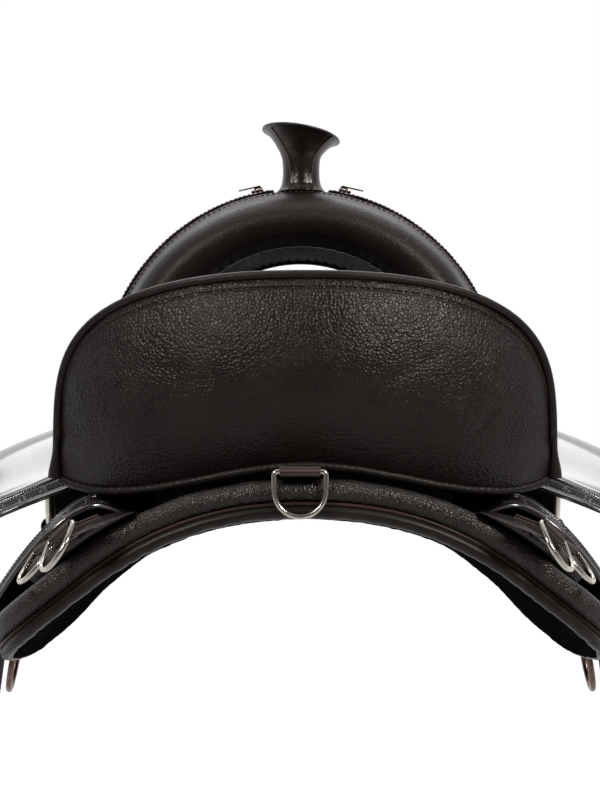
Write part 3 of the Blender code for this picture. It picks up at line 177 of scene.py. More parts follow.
REAR_BILLET_HANG = 0.090
STRAP_CLEARANCE = 0.0012
STRAP_OVERHANG = 0.006
STRAP_LEAN = 0.18
STRAP_LAP = 0.0045
STRAP_TURN = 0.75
RING_PLACES = (
    ("rear_inner", 0.176, -0.306, 40.0, 34.0, 0.0007),
    ("rear_outer", 0.190, -0.268, 32.0, 16.0, 0.0017),
    ("front", 0.204, 0.220, -10.0, 0.0, 0.0006),
)
SWING_Y = 0.030
SWING_Z = 0.012
SWING_HALF = 0.2100
HANGER_WIRE_RADIUS = 0.0040
HANGER_RADIUS = 0.034
HANGER_BAR_ANGLE = 125.0
HANGER_RISE = 0.10
HANGER_PLY = 0.0022
HANGER_STRAP_WIDTH = 0.044
GROUND_SEAT_HALF = 0.112
FENDER_THICKNESS = 0.0050
FENDER_LEAN = 10.0
FENDER_TOP_WIDTH = 0.046
FENDER_WIDTH = 0.168
FENDER_NECK_WIDTH = 0.062
FENDER_DROP = 0.455
FENDER_TOP_HALF = 0.2075
FENDER_KICK = 0.0300
FENDER_KICK_LENGTH = 0.064
SLEEVE_HALF_ANGLE = 27.0
SLEEVE_THICKNESS = 0.0045
SLEEVE_LAP = 0.0024
SLEEVE_REACH = HANGER_RADIUS + HANGER_WIRE_RADIUS + PIVOT_CLEARANCE + SLEEVE_THICKNESS
STIRRUP_DEPTH = 0.070
STIRRUP_THICKNESS = 0.0090
STIRRUP_BOLT_RADIUS = 0.0045
STIRRUP_BOLT_BELOW = 0.012
STIRRUP_LOOP_PLY = 0.0028
STIRRUP_LOOP_WIDTH = 0.056
STIRRUP_LOOP_TAIL = 0.060
STIRRUP_EAR_HALF = 0.0375
STIRRUP_EAR_DEPTH = 0.030
STIRRUP_SIDE = (
    (STIRRUP_EAR_HALF, 0.014), (STIRRUP_EAR_HALF, -0.012), (0.050, -0.040), (0.0605, -0.074),
    (0.0600, -0.104), (0.050, -0.1205), (0.030, -0.1220), (0.001, -0.1220),
)


def mix(a, b, t):
    """Value a at t = 0 and b at t = 1."""
    return a + (b - a) * t


def clamp(t):
    return max(0.0, min(1.0, t))


def ease(t):
    t = clamp(t)
    return t * t * (3.0 - 2.0 * t)


def through(rear, middle, front, t):
    """Parabola through three values at t = 0, 0.5 and 1."""
    return rear * (1 - 2 * t) * (1 - t) + 4 * middle * t * (1 - t) + front * t * (2 * t - 1)


def even(low, high, count):
    return [mix(low, high, i / count) for i in range(count + 1)]


def round_turns(count):
    """Angles in radians once round a circle, the first at 0."""
    return even(0, 2 * math.pi, count)[:-1]


def as_array(points):
    return np.array([tuple(p) for p in points], float)


def run_of(path):
    """Distance along a path at each of its points."""
    return np.concatenate([[0.0], np.cumsum(np.linalg.norm(np.diff(path, axis=0), axis=1))])


def at_stops(path, stops):
    """Points of a path at distances along it."""
    run = run_of(path)
    return np.stack([np.interp(stops, run, column) for column in path.T], axis=1)


def ridge(distance, half):
    """Rounded ridge that is 1 at distance 0 and 0 from half outwards."""
    return math.cos(0.5 * math.pi * min(1.0, abs(distance) / half)) ** 2


def rumple(point, size, seed=0.0):
    """Smooth noise from -1 to 1 whose bumps are about size wide."""
    return noise.noise(Vector(point) / size + Vector((seed, 2 * seed, 3 * seed)))


# Surfaces that the pieces lie on, as in the solids

def back_center(y):
    if y < BACK_LOW_Y:
        return BACK_LOW_DEPTH * (((BACK_LOW_Y - y) / (BACK_LOW_Y - PAD_REAR_Y)) ** 2 - 1.0)
    rise = ((y - BACK_LOW_Y) / (PAD_FRONT_Y - BACK_LOW_Y)) ** 2
    return (WITHERS_LIFT + BACK_LOW_DEPTH) * rise - BACK_LOW_DEPTH


def back_height(x, y):
    """Height of the horse's back under the pad."""
    t = (y - PAD_REAR_Y) / PAD_LENGTH
    slope = mix(FLANK_SLOPE_REAR, FLANK_SLOPE_FRONT, t)
    half = mix(CROWN_HALF_REAR, CROWN_HALF_FRONT, t)
    crown = slope * half / CROWN_POWER
    if abs(x) < half:
        return back_center(y) - crown * (abs(x) / half) ** CROWN_POWER
    return back_center(y) - crown - slope * (abs(x) - half)


def back_normal(x, y):
    step = 0.001
    dx = (back_height(x + step, y) - back_height(x - step, y)) / (2 * step)
    dy = (back_height(x, y + step) - back_height(x, y - step)) / (2 * step)
    return Vector((-dx, -dy, 1.0)).normalized()


def on_back(x, y, height):
    """Point at a height above the horse's back, measured square to it."""
    return Vector((x, y, back_height(x, y))) + back_normal(x, y) * height


def above_back(x, y, height):
    """The same surface, found straight above the place x, y."""
    base = Vector((x, y))
    for _ in range(5):
        lean = back_normal(*base) * height
        base = Vector((x - lean.x, y - lean.y))
    return on_back(base.x, base.y, height)


def pad_place(u, v):
    end = 2 * v - 1
    half = through(PAD_HALF_REAR, PAD_HALF_MIDDLE, PAD_HALF_FRONT, v)
    corner = (1 - abs(end * PAD_CORNER_REACH) ** PAD_CORNER_POWER) ** (1 / PAD_CORNER_POWER)
    return u * half * corner, mix(PAD_REAR_Y, PAD_FRONT_Y, v) - end ** 3 * PAD_END_SWEEP * u * u


def spine_groove(x, v):
    across = clamp(1 - abs(x) / SPINE_GROOVE_HALF)
    return SPINE_GROOVE_DEPTH * ease(across) * ease(clamp(min(v, 1 - v) * 8.0))


def outline_point(angle):
    """Cantle outline seen from behind, angle from -90 to 90 degrees about its foot."""
    s = math.sin(math.radians(angle))
    c = max(0.0, math.cos(math.radians(angle)))
    x = math.copysign(abs(s) ** (2 / CANTLE_SIDE_POWER), s) * CANTLE_HALF_WIDTH
    return x, CANTLE_FOOT_Z + CANTLE_HEIGHT * c ** (2 / CANTLE_TOP_POWER)


OUTLINE = np.array([outline_point(angle) for angle in even(-90.0, 90.0, 720)])
OUTLINE_RUN = run_of(OUTLINE)
OUTLINE_SHARE = 2 * OUTLINE_RUN / OUTLINE_RUN[-1] - 1


def cantle_outline(share):
    return tuple(float(np.interp(share, OUTLINE_SHARE, column)) for column in OUTLINE.T)


def on_outline(share):
    x, z = cantle_outline(share)
    return Vector((x, CANTLE_REAR_Y + CANTLE_WRAP * (x / CANTLE_HALF_WIDTH) ** 2, z))


def cantle_hem(u):
    x = u * (CANTLE_HALF_WIDTH + 0.001)
    swing = clamp(abs(x) / CANTLE_HEM_HALF)
    corner = clamp((abs(x) - CANTLE_HEM_HALF) / (CANTLE_HALF_WIDTH - CANTLE_HEM_HALF))
    z = CANTLE_HEM_Z - CANTLE_HEM_DROP * math.sin(0.5 * math.pi * swing) ** 2
    z += CANTLE_HEM_CORNER_LIFT * corner ** 2
    return Vector((x, CANTLE_REAR_Y + 0.010 + CANTLE_WRAP * (x / CANTLE_HALF_WIDTH) ** 2, z))


def cantle_back_point(u, v):
    """Back of the cantle: hem at v = 0, top edge at v = 1, swelling out between."""
    point = cantle_hem(u).lerp(on_outline(u * CANTLE_EDGE_SHARE), v)
    swell = CANTLE_BULGE * math.sin(math.pi * clamp(v)) ** 0.8 * (1 - abs(u) ** 4)
    return point + Vector((0.35 * u, -1.0, 0.0)).normalized() * swell


def seat_point(u, v):
    """Top of the seat: front edge at v = 0, over the dish, to the cantle's top at v = 1."""
    rear = ease((v - 0.45) / 0.55) ** 1.4
    half = mix(through(SEAT_FRONT_HALF, SEAT_MIDDLE_HALF, CANTLE_HALF_WIDTH - 0.003, v),
               CANTLE_HALF_WIDTH - 0.003, rear)
    front = (1 - clamp(v / 0.5)) ** 2
    centre_z = mix(mix(SEAT_MIDDLE_Z, SEAT_FRONT_Z, front), CANTLE_FOOT_Z + CANTLE_HEIGHT, rear)
    side_z = mix(mix(SEAT_MIDDLE_SIDE_Z, SEAT_FRONT_SIDE_Z, front), CANTLE_FOOT_Z + 0.006, rear)
    flat_angle = math.radians(90.0 * u)
    side_power = mix(2.0, CANTLE_SIDE_POWER, rear)
    top_power = mix(1.0, CANTLE_TOP_POWER, rear)
    x_flat = half * math.copysign(abs(math.sin(flat_angle)) ** (2 / side_power), u)
    z_flat = mix(side_z, centre_z, max(0.0, math.cos(flat_angle)) ** (2 / top_power))
    edge_x, edge_z = cantle_outline(u)
    x = mix(x_flat, edge_x * half / CANTLE_HALF_WIDTH, rear)
    z = mix(z_flat, mix(side_z, centre_z, (edge_z - CANTLE_FOOT_Z) / CANTLE_HEIGHT), rear)
    wrap = CANTLE_WRAP * (x / CANTLE_HALF_WIDTH) ** 2 * ease((v - 0.2) / 0.8)
    tuck = SEAT_SIDE_TUCK * abs(u) ** 8 * rear
    return Vector((x, mix(SEAT_FRONT_Y, CANTLE_REAR_Y + SEAT_TOP_DEPTH, v) + wrap + tuck, z))


def seat_thickness(u, v):
    rim = min(1 - abs(u), v * 1.5, (1 - v) * 1.5)
    return mix(SEAT_EDGE_THICKNESS, SEAT_THICKNESS, ease(rim / 0.25))


POMMEL_SECTION = (
    (0.016, 0.0), (0.002, 0.24), (0.0, 0.53), (0.012, 0.79), (0.033, 0.91), (0.050, 1.0),
    (0.076, 1.0), (0.092, 0.96), (0.110, 0.80), (0.122, 0.55), (0.122, 0.26), (0.110, 0.0),
)


def smooth_through(knots, steps):
    """Points along a smooth curve through the knots, evenly spaced in its parameter."""
    points = []
    spans = len(knots) - 1
    for i in range(steps + 1):
        place = i / steps * spans
        k = min(int(place), spans - 1)
        t = place - k
        before, after = knots[max(k - 1, 0)], knots[min(k + 2, spans)]
        a, b = knots[k], knots[k + 1]
        points.append(0.5 * (2 * a + (b - before) * t + (2 * before - 5 * a + 4 * b - after) * t ** 2
                             + (3 * a - 3 * b + after - before) * t ** 3))
    return points


def rim_radius(y):
    """Inner radius of the arch between its rear and front rims."""
    return mix(ARCH_INNER_RADIUS_REAR, ARCH_INNER_RADIUS_FRONT, (y - POMMEL_REAR_Y) / POMMEL_DEPTH)


def pommel_section(steps):
    """Section of the pommel roll as (y, radius) points, from the rear rim to the front rim."""
    knots = []
    for y, share in POMMEL_SECTION:
        low = mix(ARCH_INNER_RADIUS_REAR, ARCH_INNER_RADIUS_FRONT, y / POMMEL_DEPTH)
        knots.append(Vector((POMMEL_REAR_Y + y, mix(low, ARCH_OUTER_RADIUS, share))))
    return smooth_through(knots, steps)


def round_arch(radius, y, angle):
    """Point on the arch at an angle in degrees from its top, positive to the right."""
    turn = math.radians(angle)
    return Vector((radius * math.sin(turn), y, ARCH_CENTRE_Z + radius * math.cos(turn)))


def perch_height(x):
    return ARCH_CENTRE_Z - math.tan(math.radians(ARCH_HALF_ANGLE - 90.0)) * abs(x)


def jockey_point(u, v):
    """Upper side leather: u from under the seat outwards, v from the rear forwards."""
    rear_y = through(-0.148, -0.174, -0.160, u)
    front_y = through(JOCKEY_FRONT_Y, JOCKEY_FRONT_Y - 0.028, JOCKEY_FRONT_Y - 0.080, u)
    y = mix(rear_y, front_y, v)
    at_pommel = ease((y - 0.030) / 0.075)
    at_rear = ease((-0.060 - y) / 0.120)
    perch_slope = math.tan(math.radians(ARCH_HALF_ANGLE - 90.0))
    inner = mix(mix(0.142, 0.104, at_pommel), 0.152, at_rear)
    outer = JOCKEY_OUTER_HALF - 0.020 * at_rear - 0.012 * ease((v - 0.8) / 0.2)
    inner_z = mix(mix(0.0785, perch_height(inner) - SEAT_GAP, at_pommel), 0.034, at_rear)
    slope = mix(mix(0.15, perch_slope, at_pommel), 0.17, at_rear)
    bend = mix(mix(1.6, 2.6, at_pommel), 1.7, at_rear)
    x = mix(inner, outer, u)
    curl = max(0.0, x - inner - 0.068 * at_pommel)
    return Vector((x, y, inner_z - slope * (x - inner) - bend * curl ** 2))


def skirt_outer(y):
    t = (y - PAD_REAR_Y) / PAD_LENGTH
    return through(PAD_HALF_REAR, PAD_HALF_MIDDLE, PAD_HALF_FRONT, t) + SKIRT_OVERHANG


def skirt_lift(x, y):
    across = clamp((abs(x) - SKIRT_INNER_HALF) / (skirt_outer(y) - SKIRT_INNER_HALF))
    return SKIRT_LIFT * math.sin(math.pi * across) * (1 - 0.55 * ease((y - 0.020) / 0.080))


def skirt_face(x, y, height=0.0):
    """Point on the skirt, or at a height above it; its rear edge stands a little proud."""
    point = above_back(x, y, PAD_TOP + GAP + SKIRT_THICKNESS + height)
    point.z += skirt_lift(x, y) + SKIRT_FLARE * ease((-0.050 - y) / 0.110) * ease((abs(x) - 0.130) / 0.035)
    return point


def skirt_point(u, v):
    """Lower side leather, which bulges over the pad's shoulder and falls to its edge."""
    rear_y = through(-0.183, SKIRT_REAR_Y - 0.022, -0.191, u)
    front_y = through(SKIRT_FRONT_Y, SKIRT_FRONT_Y, SKIRT_FRONT_Y - 0.030, u)
    y = mix(rear_y, front_y, v)
    return skirt_face(mix(SKIRT_INNER_HALF, skirt_outer(y), u), y)


def panel_point(x, y):
    """Top of the stuffed panel, which slopes down behind the skirt's rear edge."""
    point = above_back(x, y, PAD_TOP + GAP)
    share = mix(PANEL_REAR_SHARE, 1.0, ease((y - PANEL_REAR_Y) / PANEL_REAR_RUN))
    point.z += share * (skirt_lift(x, y) - PANEL_LIFT_CLEARANCE)
    return point


def fender_inner(drop):
    below = max(0.0, drop - SLEEVE_REACH)
    lean = math.tan(math.radians(FENDER_LEAN)) * below
    return FENDER_TOP_HALF + lean + FENDER_KICK * ease(below / FENDER_KICK_LENGTH)


def fender_half_width(drop):
    full = mix(FENDER_TOP_WIDTH, FENDER_WIDTH, ease((drop - 0.055) / 0.150))
    return mix(full, FENDER_NECK_WIDTH, ease((drop - 0.270) / (FENDER_DROP - 0.290))) / 2


def fender_point(u, v):
    top_half = (1 - 2 * u) * FENDER_TOP_WIDTH / 2
    drop = mix(math.sqrt((SLEEVE_REACH - SLEEVE_LAP) ** 2 - top_half ** 2), FENDER_DROP, v)
    y = SWING_Y + (1 - 2 * u) * fender_half_width(drop)
    return Vector((fender_inner(drop) + FENDER_THICKNESS, y, SWING_Z - drop))


# Material nodes

def plug(tree, target, inputs):
    """Sets inputs of a node; each is a value, a colour or the output that it is linked to."""
    for key, value in inputs.items():
        socket = target.inputs[key]
        if isinstance(value, bpy.types.NodeSocket):
            tree.links.new(value, socket)
        else:
            socket.default_value = (*value, 1.0) if socket.type == "RGBA" else value


def node(tree, kind, inputs=None, **settings):
    made = tree.nodes.new("ShaderNode" + kind)
    for key, value in settings.items():
        setattr(made, key, value)
    plug(tree, made, inputs or {})
    return made


def math_node(tree, operation, a, b=0.0):
    return node(tree, "Math", {0: a, 1: b}, operation=operation).outputs[0]


def blend_color(tree, share, low, high):
    """Colour between two colours by a share from 0 to 1."""
    return node(tree, "Mix", {0: share, 6: low, 7: high}, data_type="RGBA").outputs[2]


def span(tree, value, low, high, to_low, to_high):
    """Maps low..high to to_low..to_high and holds it there."""
    return node(tree, "MapRange", {0: value, 1: low, 2: high, 3: to_low, 4: to_high}).outputs[0]


def start_material(name):
    """A new material, its node tree and its object coordinates."""
    mat = bpy.data.materials.new(name)
    mat.use_nodes = True
    return mat, mat.node_tree, node(mat.node_tree, "TexCoord").outputs["Object"]


def finish_material(mat, tint, roughness, bumps=(), more=None):
    """Joins colour, roughness, bumps as (height, depth in metres) and more inputs to the shader."""
    tree = mat.node_tree
    normal = {}
    for height, depth in bumps:
        bump = node(tree, "Bump", {"Height": height, "Distance": depth, "Strength": 1.0, **normal})
        normal = {"Normal": bump.outputs["Normal"]}
    plug(tree, tree.nodes["Principled BSDF"],
         {"Base Color": tint, "Roughness": roughness, **normal, **(more or {})})
    return mat


def toned(color, factor):
    return [c * factor for c in color]


def noise_at(tree, coords, scale, detail=3.0, roughness=0.55):
    return node(tree, "TexNoise", {"Vector": coords, "Scale": scale, "Detail": detail,
                                   "Roughness": roughness}).outputs["Fac"]


def place_coords(tree):
    """The piece's own place: metres across, metres along and distance from its edge."""
    made = node(tree, "Attribute", attribute_name="place")
    return node(tree, "SeparateXYZ", {0: made.outputs["Vector"]}).outputs


def leather(name, color, roughness, pebble=0.0, pebble_size=0.0019, level=0.35, edge_highlight_width=0.0,
            waves=0.0005, coat=0.0):
    """Grained leather: pores, pebbles with painted shade in their creases, soft waves, a painted highlight
    paling the edge in patches and a lacquered coat.
    """
    mat, tree, coords = start_material(name)
    warp = node(tree, "TexNoise", {"Vector": coords, "Scale": 210.0, "Detail": 2.0}).outputs["Color"]
    offset = node(tree, "VectorMath", {0: warp, "Scale": 0.0016}, operation="SCALE").outputs[0]
    warped = node(tree, "VectorMath", {0: coords, 1: offset}, operation="ADD").outputs[0]
    cell = {"Vector": warped, "Scale": 1 / pebble_size, "Randomness": 0.9}
    cells = node(tree, "TexVoronoi", cell, feature="DISTANCE_TO_EDGE").outputs["Distance"]
    hills = node(tree, "TexVoronoi", cell, feature="SMOOTH_F1").outputs["Distance"]
    pores = noise_at(tree, coords, 2400.0, 2.0)
    broad = noise_at(tree, coords, 26.0, 4.0)
    tint = blend_color(tree, span(tree, broad, 0.35, 0.7, 0.0, 1.0), toned(color, 0.80), toned(color, 1.28))
    # Painted shade: the creases between the pebbles are painted darker than the pebbles' tops.
    painted_crease_shade = span(tree, cells, 0.0, 0.18, 0.85 if pebble else 0.0, 0.0)
    tint = blend_color(tree, painted_crease_shade, tint, toned(color, 0.35))
    # Painted highlight: a band along the edge painted paler, broken into patches.
    if edge_highlight_width:
        edge = span(tree, place_coords(tree)[2], 0.0, edge_highlight_width, 1.0, 0.0)
        patchy_edge_highlight = math_node(tree, "MULTIPLY", edge, span(tree, pores, 0.35, 0.65, 0.25, 0.9))
        tint = blend_color(tree, patchy_edge_highlight, tint, toned(color, 2.1))
    dull = math_node(tree, "ADD", span(tree, broad, 0.3, 0.7, -0.07, 0.07),
                     span(tree, pores, 0.3, 0.7, -0.04, 0.06))
    bumps = [(pores, 0.00005 if waves > 0.0002 else 0.00001), (broad, waves)]
    if pebble:
        raised = math_node(tree, "SUBTRACT", span(tree, cells, 0.0, 0.20, 0.0, 0.45), hills)
        bumps.insert(0, (raised, pebble))
    more = {"Specular IOR Level": level, "Specular Tint": (1.0, 0.91, 0.86)}
    if coat:
        more.update({"Coat Weight": coat, "Coat Roughness": 0.12, "Coat IOR": 1.85})
    return finish_material(mat, tint, math_node(tree, "ADD", dull, roughness), bumps, more)


def webbing(name, color, pitch, crosswise=True, streak=0.0):
    """Woven nylon: ribs that run across the strap or along it, over a fine thread; each rib is painted dark
    in its groove and pale on its crest, as painted shade and highlight.
    """
    mat, tree, coords = start_material(name)
    place = place_coords(tree)
    ways = (place[1], place[0]) if crosswise else (place[0], place[1])
    rib, thread = (math_node(tree, "ABSOLUTE", math_node(tree, "SINE", math_node(
        tree, "MULTIPLY", way, math.pi / size))) for way, size in zip(ways, (pitch, 0.00095)))
    fuzz = noise_at(tree, coords, 1500.0, 4.0)
    # Painted shade and highlight: the ribs' grooves are painted dark and their crests pale.
    shade = math_node(tree, "MULTIPLY", rib, span(tree, fuzz, 0.3, 0.7, 0.55, 1.0))
    tint = blend_color(tree, shade, toned(color, 0.18), toned(color, 1.5))
    if streak:
        from_streak = math_node(tree, "SUBTRACT", math_node(tree, "ABSOLUTE", place[0]), streak)
        line = span(tree, math_node(tree, "ABSOLUTE", from_streak), 0.0, 0.0011, 0.55, 0.0)
        tint = blend_color(tree, line, tint, (0.20, 0.19, 0.19))
    return finish_material(mat, tint, span(tree, fuzz, 0.3, 0.7, 0.55, 0.8),
                           [(rib, 0.0004), (thread, 0.00012), (fuzz, 0.00008)],
                           {"Specular IOR Level": 0.35, "Sheen Weight": 0.12, "Sheen Roughness": 0.4})


def metal(name, color, roughness):
    """Plated wire with faint scratches and dull spots."""
    mat, tree, coords = start_material(name)
    dull = noise_at(tree, coords, 190.0, 4.0)
    stretched = node(tree, "Mapping", {"Vector": coords, "Scale": (1.0, 1.0, 12.0)}).outputs[0]
    tint = blend_color(tree, span(tree, dull, 0.4, 0.75, 0.0, 1.0), color, toned(color, 0.72))
    return finish_material(mat, tint, span(tree, dull, 0.3, 0.7, roughness * 0.7, roughness * 1.6),
                           [(noise_at(tree, stretched, 900.0, 2.0), 0.00002)], {"Metallic": 1.0})


def thread(name, color):
    """Waxed thread with a twist, painted darker in its grooves and paler on its crests as painted shade and
    highlight.
    """
    mat, tree, coords = start_material(name)
    twist = node(tree, "TexWave", {"Vector": coords, "Scale": 900.0, "Distortion": 1.5},
                 bands_direction="DIAGONAL").outputs["Fac"]
    # Painted shade and highlight: the twist's grooves are painted darker, its crests paler.
    tint = blend_color(tree, twist, toned(color, 0.55), toned(color, 1.2))
    return finish_material(mat, tint, 0.55, [(twist, 0.00012)])


def wool(name, color):
    """Short curly fleece, painted darker in the hollows between its curls as painted shade."""
    mat, tree, coords = start_material(name)
    curls = node(tree, "TexVoronoi", {"Vector": coords, "Scale": 260.0}).outputs["Distance"]
    fibres = noise_at(tree, coords, 1300.0, 6.0, 0.7)
    # Painted shade: the deep hollows between the curls are painted darker.
    tint = blend_color(tree, span(tree, curls, 0.2, 0.75, 0.0, 1.0), color, toned(color, 0.35))
    return finish_material(mat, tint, 0.95, [(curls, -0.0012), (fibres, 0.0007)],
                           {"Specular IOR Level": 0.0, "Sheen Weight": 0.03, "Sheen Roughness": 0.5})


def moulded(name, color, roughness, grain=0.00015):
    """Moulded plastic or foam with a fine texture."""
    mat, tree, coords = start_material(name)
    fine = node(tree, "TexVoronoi", {"Vector": coords, "Scale": 1100.0}).outputs["Distance"]
    broad = noise_at(tree, coords, 35.0)
    return finish_material(mat, blend_color(tree, broad, toned(color, 0.8), toned(color, 1.25)),
                           span(tree, broad, 0.3, 0.7, roughness - 0.06, roughness + 0.08), [(fine, grain)])


RIB_PITCH = 0.0030
DARK_LEATHER = (0.0092, 0.0062, 0.0052)
SHINY_LEATHER = (0.0100, 0.0076, 0.0072)
RED_BROWN = (0.080, 0.030, 0.024)

PEBBLED = leather("pebbled_leather", DARK_LEATHER, 0.35, pebble=0.00032, pebble_size=0.0028, level=0.45)
PAD_LEATHER = leather("pad_leather", DARK_LEATHER, 0.34, pebble=0.00046, pebble_size=0.0024, level=0.65)
SOFT_LEATHER = leather("soft_leather", DARK_LEATHER, 0.40, pebble=0.00016, pebble_size=0.0020, level=0.40)
HORN_LEATHER = leather("horn_leather", toned(DARK_LEATHER, 1.2), 0.26, pebble=0.00005,
                       pebble_size=0.0014, level=0.65)
ROLLED_LEATHER = leather("rolled_leather", DARK_LEATHER, 0.40, level=0.35)
SEAT_LEATHER = leather("seat_leather", toned(DARK_LEATHER, 1.4), 0.45, pebble=0.00014,
                       pebble_size=0.0015, level=0.4)
GLOSSY_LEATHER = leather("glossy_leather", SHINY_LEATHER, 0.20, level=0.6, edge_highlight_width=0.0035, waves=0.00008,
                         coat=1.0)
TOOLED_LEATHER = leather("tooled_leather", SHINY_LEATHER, 0.22, level=0.6, waves=0.00004, coat=0.6)
FENDER_LEATHER = leather("fender_leather", toned(DARK_LEATHER, 1.4), 0.30, pebble=0.00005,
                         pebble_size=0.0018, level=0.45, edge_highlight_width=0.004)
LINING_LEATHER = leather("lining_leather", toned(DARK_LEATHER, 0.7), 0.85, level=0.12)
BROWN_PIPING = leather("brown_piping", (0.030, 0.0125, 0.0100), 0.42, level=0.35)
BROWN_WEBBING = webbing("brown_webbing", (0.080, 0.048, 0.038), RIB_PITCH)
BLACK_WEBBING = webbing("black_webbing", (0.020, 0.018, 0.019), 0.0024, crosswise=False, streak=0.0105)
TAPE = webbing("zip_tape", (0.030, 0.016, 0.014), 0.0012)
NICKEL = metal("nickel", (0.66, 0.62, 0.54), 0.16)
DARK_METAL = metal("dark_metal", (0.20, 0.13, 0.11), 0.24)
BROWN_THREAD = thread("brown_thread", RED_BROWN)
PALE_THREAD = thread("pale_thread", (0.42, 0.37, 0.30))
FLEECE = wool("fleece", (0.016, 0.012, 0.010))
COMPOSITE = moulded("composite", (0.012, 0.010, 0.009), 0.60)
RUBBER = moulded("rubber", (0.016, 0.016, 0.017), 0.6)
FOAM = moulded("foam", (0.012, 0.011, 0.010), 0.9, 0.0004)


# Mesh helpers

STITCH_SLANT = 0.12


def keep(obj, finish, body="saddle", stands_for=()):
    """Gives a piece its finish, its body and the solids that it stands for."""
    for mat in finish if isinstance(finish, (list, tuple)) else [finish]:
        obj.data.materials.append(mat)
    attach(obj, body)
    if stands_for:
        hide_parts(*stands_for)
    return obj


def mesh_object(name, verts, faces, place=None):
    mesh = bpy.data.meshes.new(name)
    mesh.from_pydata([tuple(v) for v in verts], [], faces)
    if place is not None:
        layer = mesh.attributes.new("place", "FLOAT_VECTOR", "POINT")
        layer.data.foreach_set("vector", np.asarray(place, np.float32).ravel())
    bm = bmesh.new()
    bm.from_mesh(mesh)
    bmesh.ops.recalc_face_normals(bm, faces=bm.faces)
    bm.to_mesh(mesh)
    bm.free()
    mesh.shade_smooth()
    obj = bpy.data.objects.new(name, mesh)
    bpy.context.scene.collection.objects.link(obj)
    return obj


def unit(vectors):
    return vectors / np.maximum(np.linalg.norm(vectors, axis=-1, keepdims=True), 1e-9)


def form(name, surface, us, vs, above, below, reach, side=1, rim_steps=4, relief=None,
         under_relief=None):
    """Closed piece round a surface: heights above and below it, and a rim rolled out by reach."""
    points = np.array([[surface(u, v) for u in us] for v in vs], float)
    points[..., 0] *= side
    across, along = np.gradient(points, axis=1), np.gradient(points, axis=0)
    normals = unit(np.cross(across, along)) * side
    run_u = np.cumsum(np.linalg.norm(np.diff(points, axis=1, prepend=points[:, :1]), axis=2), axis=1)
    run_v = np.cumsum(np.linalg.norm(np.diff(points, axis=0, prepend=points[:1]), axis=2), axis=0)
    edge = np.minimum(np.minimum(run_u, run_u[:, -1:] - run_u), np.minimum(run_v, run_v[-1:] - run_v))
    place = np.stack([run_u - run_u[:, -1:] / 2, run_v, edge], axis=-1)

    def heights(value, more):
        rows = [[value(u, v) if callable(value) else value for u in us] for v in vs]
        if more:
            rows = [[h + more(u, v, place[j, i], points[j, i]) for i, (u, h) in enumerate(zip(us, row))]
                    for j, (v, row) in enumerate(zip(vs, rows))]
        return np.array(rows)[..., None]

    high, low = heights(above, relief), heights(below, under_relief)
    nv, nu = len(vs), len(us)
    index = np.arange(nv * nu).reshape(nv, nu)
    loop = np.concatenate([index[0], index[1:, -1], index[-1, -2::-1], index[-2:0:-1, 0]])
    flat, flat_normals = points.reshape(-1, 3), normals.reshape(-1, 3)
    flat_place = place.reshape(-1, 3)
    verts = [flat + flat_normals * high.reshape(-1, 1), flat - flat_normals * low.reshape(-1, 1)]
    places = [flat_place, flat_place]
    tangent = unit(np.roll(flat[loop], -1, axis=0) - np.roll(flat[loop], 1, axis=0))
    outward = unit(np.cross(tangent, flat_normals[loop])) * side
    rim_high, rim_low = high.reshape(-1, 1)[loop], low.reshape(-1, 1)[loop]
    centre = flat[loop] + flat_normals[loop] * (rim_high - rim_low) / 2
    for k in range(1, rim_steps):
        a = math.radians(mix(90.0, -90.0, k / rim_steps))
        verts.append(centre + outward * reach * math.cos(a)
                     + flat_normals[loop] * (rim_high + rim_low) / 2 * math.sin(a))
        places.append(flat_place[loop])
    count = nv * nu
    grid = [(index[j, i], index[j, i + 1], index[j + 1, i + 1], index[j + 1, i])
            for j in range(nv - 1) for i in range(nu - 1)]
    faces = grid + [tuple(i + count for i in face[::-1]) for face in grid]
    rings = [loop] + [2 * count + k * len(loop) + np.arange(len(loop)) for k in range(rim_steps - 1)]
    rings.append(loop + count)
    for ring, following in zip(rings, rings[1:]):
        faces += list(zip(ring, following, np.roll(following, -1), np.roll(ring, -1)))
    faces = [tuple(int(i) for i in face) for face in faces]
    obj = mesh_object(name, np.concatenate(verts), faces, np.concatenate(places))
    for polygon in obj.data.polygons[len(grid):2 * len(grid)]:
        polygon.material_index = 1
    return obj


def tube_faces(rows, sides, cyclic=False, start=0):
    """Faces between rows of vertices that each go round, with an end face at both ends."""
    faces = []
    for i in range(rows if cyclic else rows - 1):
        low, high = start + i * sides, start + (i + 1) % rows * sides
        for k in range(sides):
            m = (k + 1) % sides
            faces.append((low + k, low + m, high + m, high + k))
    if not cyclic:
        faces += [tuple(range(end, end + sides)) for end in (start, start + (rows - 1) * sides)]
    return faces


def sweep(name, path, radius, cyclic=False, sides=12):
    """Wire, welt or cord round a path, whose section turns as little as it can."""
    points = as_array(path)
    count = len(points)
    if cyclic:
        tangents = unit(np.roll(points, -1, axis=0) - np.roll(points, 1, axis=0))
    else:
        tangents = unit(np.gradient(points, axis=0))
    side = np.array((1.0, 0.0, 0.0) if abs(tangents[0][2]) > 0.9 else (0.0, 0.0, 1.0))
    normals = []
    for tangent in tangents:
        side = unit(side - tangent * np.dot(side, tangent))
        normals.append(side)
    normals = np.array(normals)
    binormals = np.cross(tangents, normals)
    radii = np.array([radius(i / (count - 1)) if callable(radius) else radius for i in range(count)])
    verts, place = [], []
    for a in round_turns(sides):
        verts.append(points + (normals * math.cos(a) + binormals * math.sin(a)) * radii[:, None])
        place.append(np.stack([radii * a, run_of(points), radii], axis=-1))
    verts, place = (np.stack(rows, axis=1).reshape(-1, 3) for rows in (verts, place))
    return mesh_object(name, verts, tube_faces(count, sides, cyclic), place)


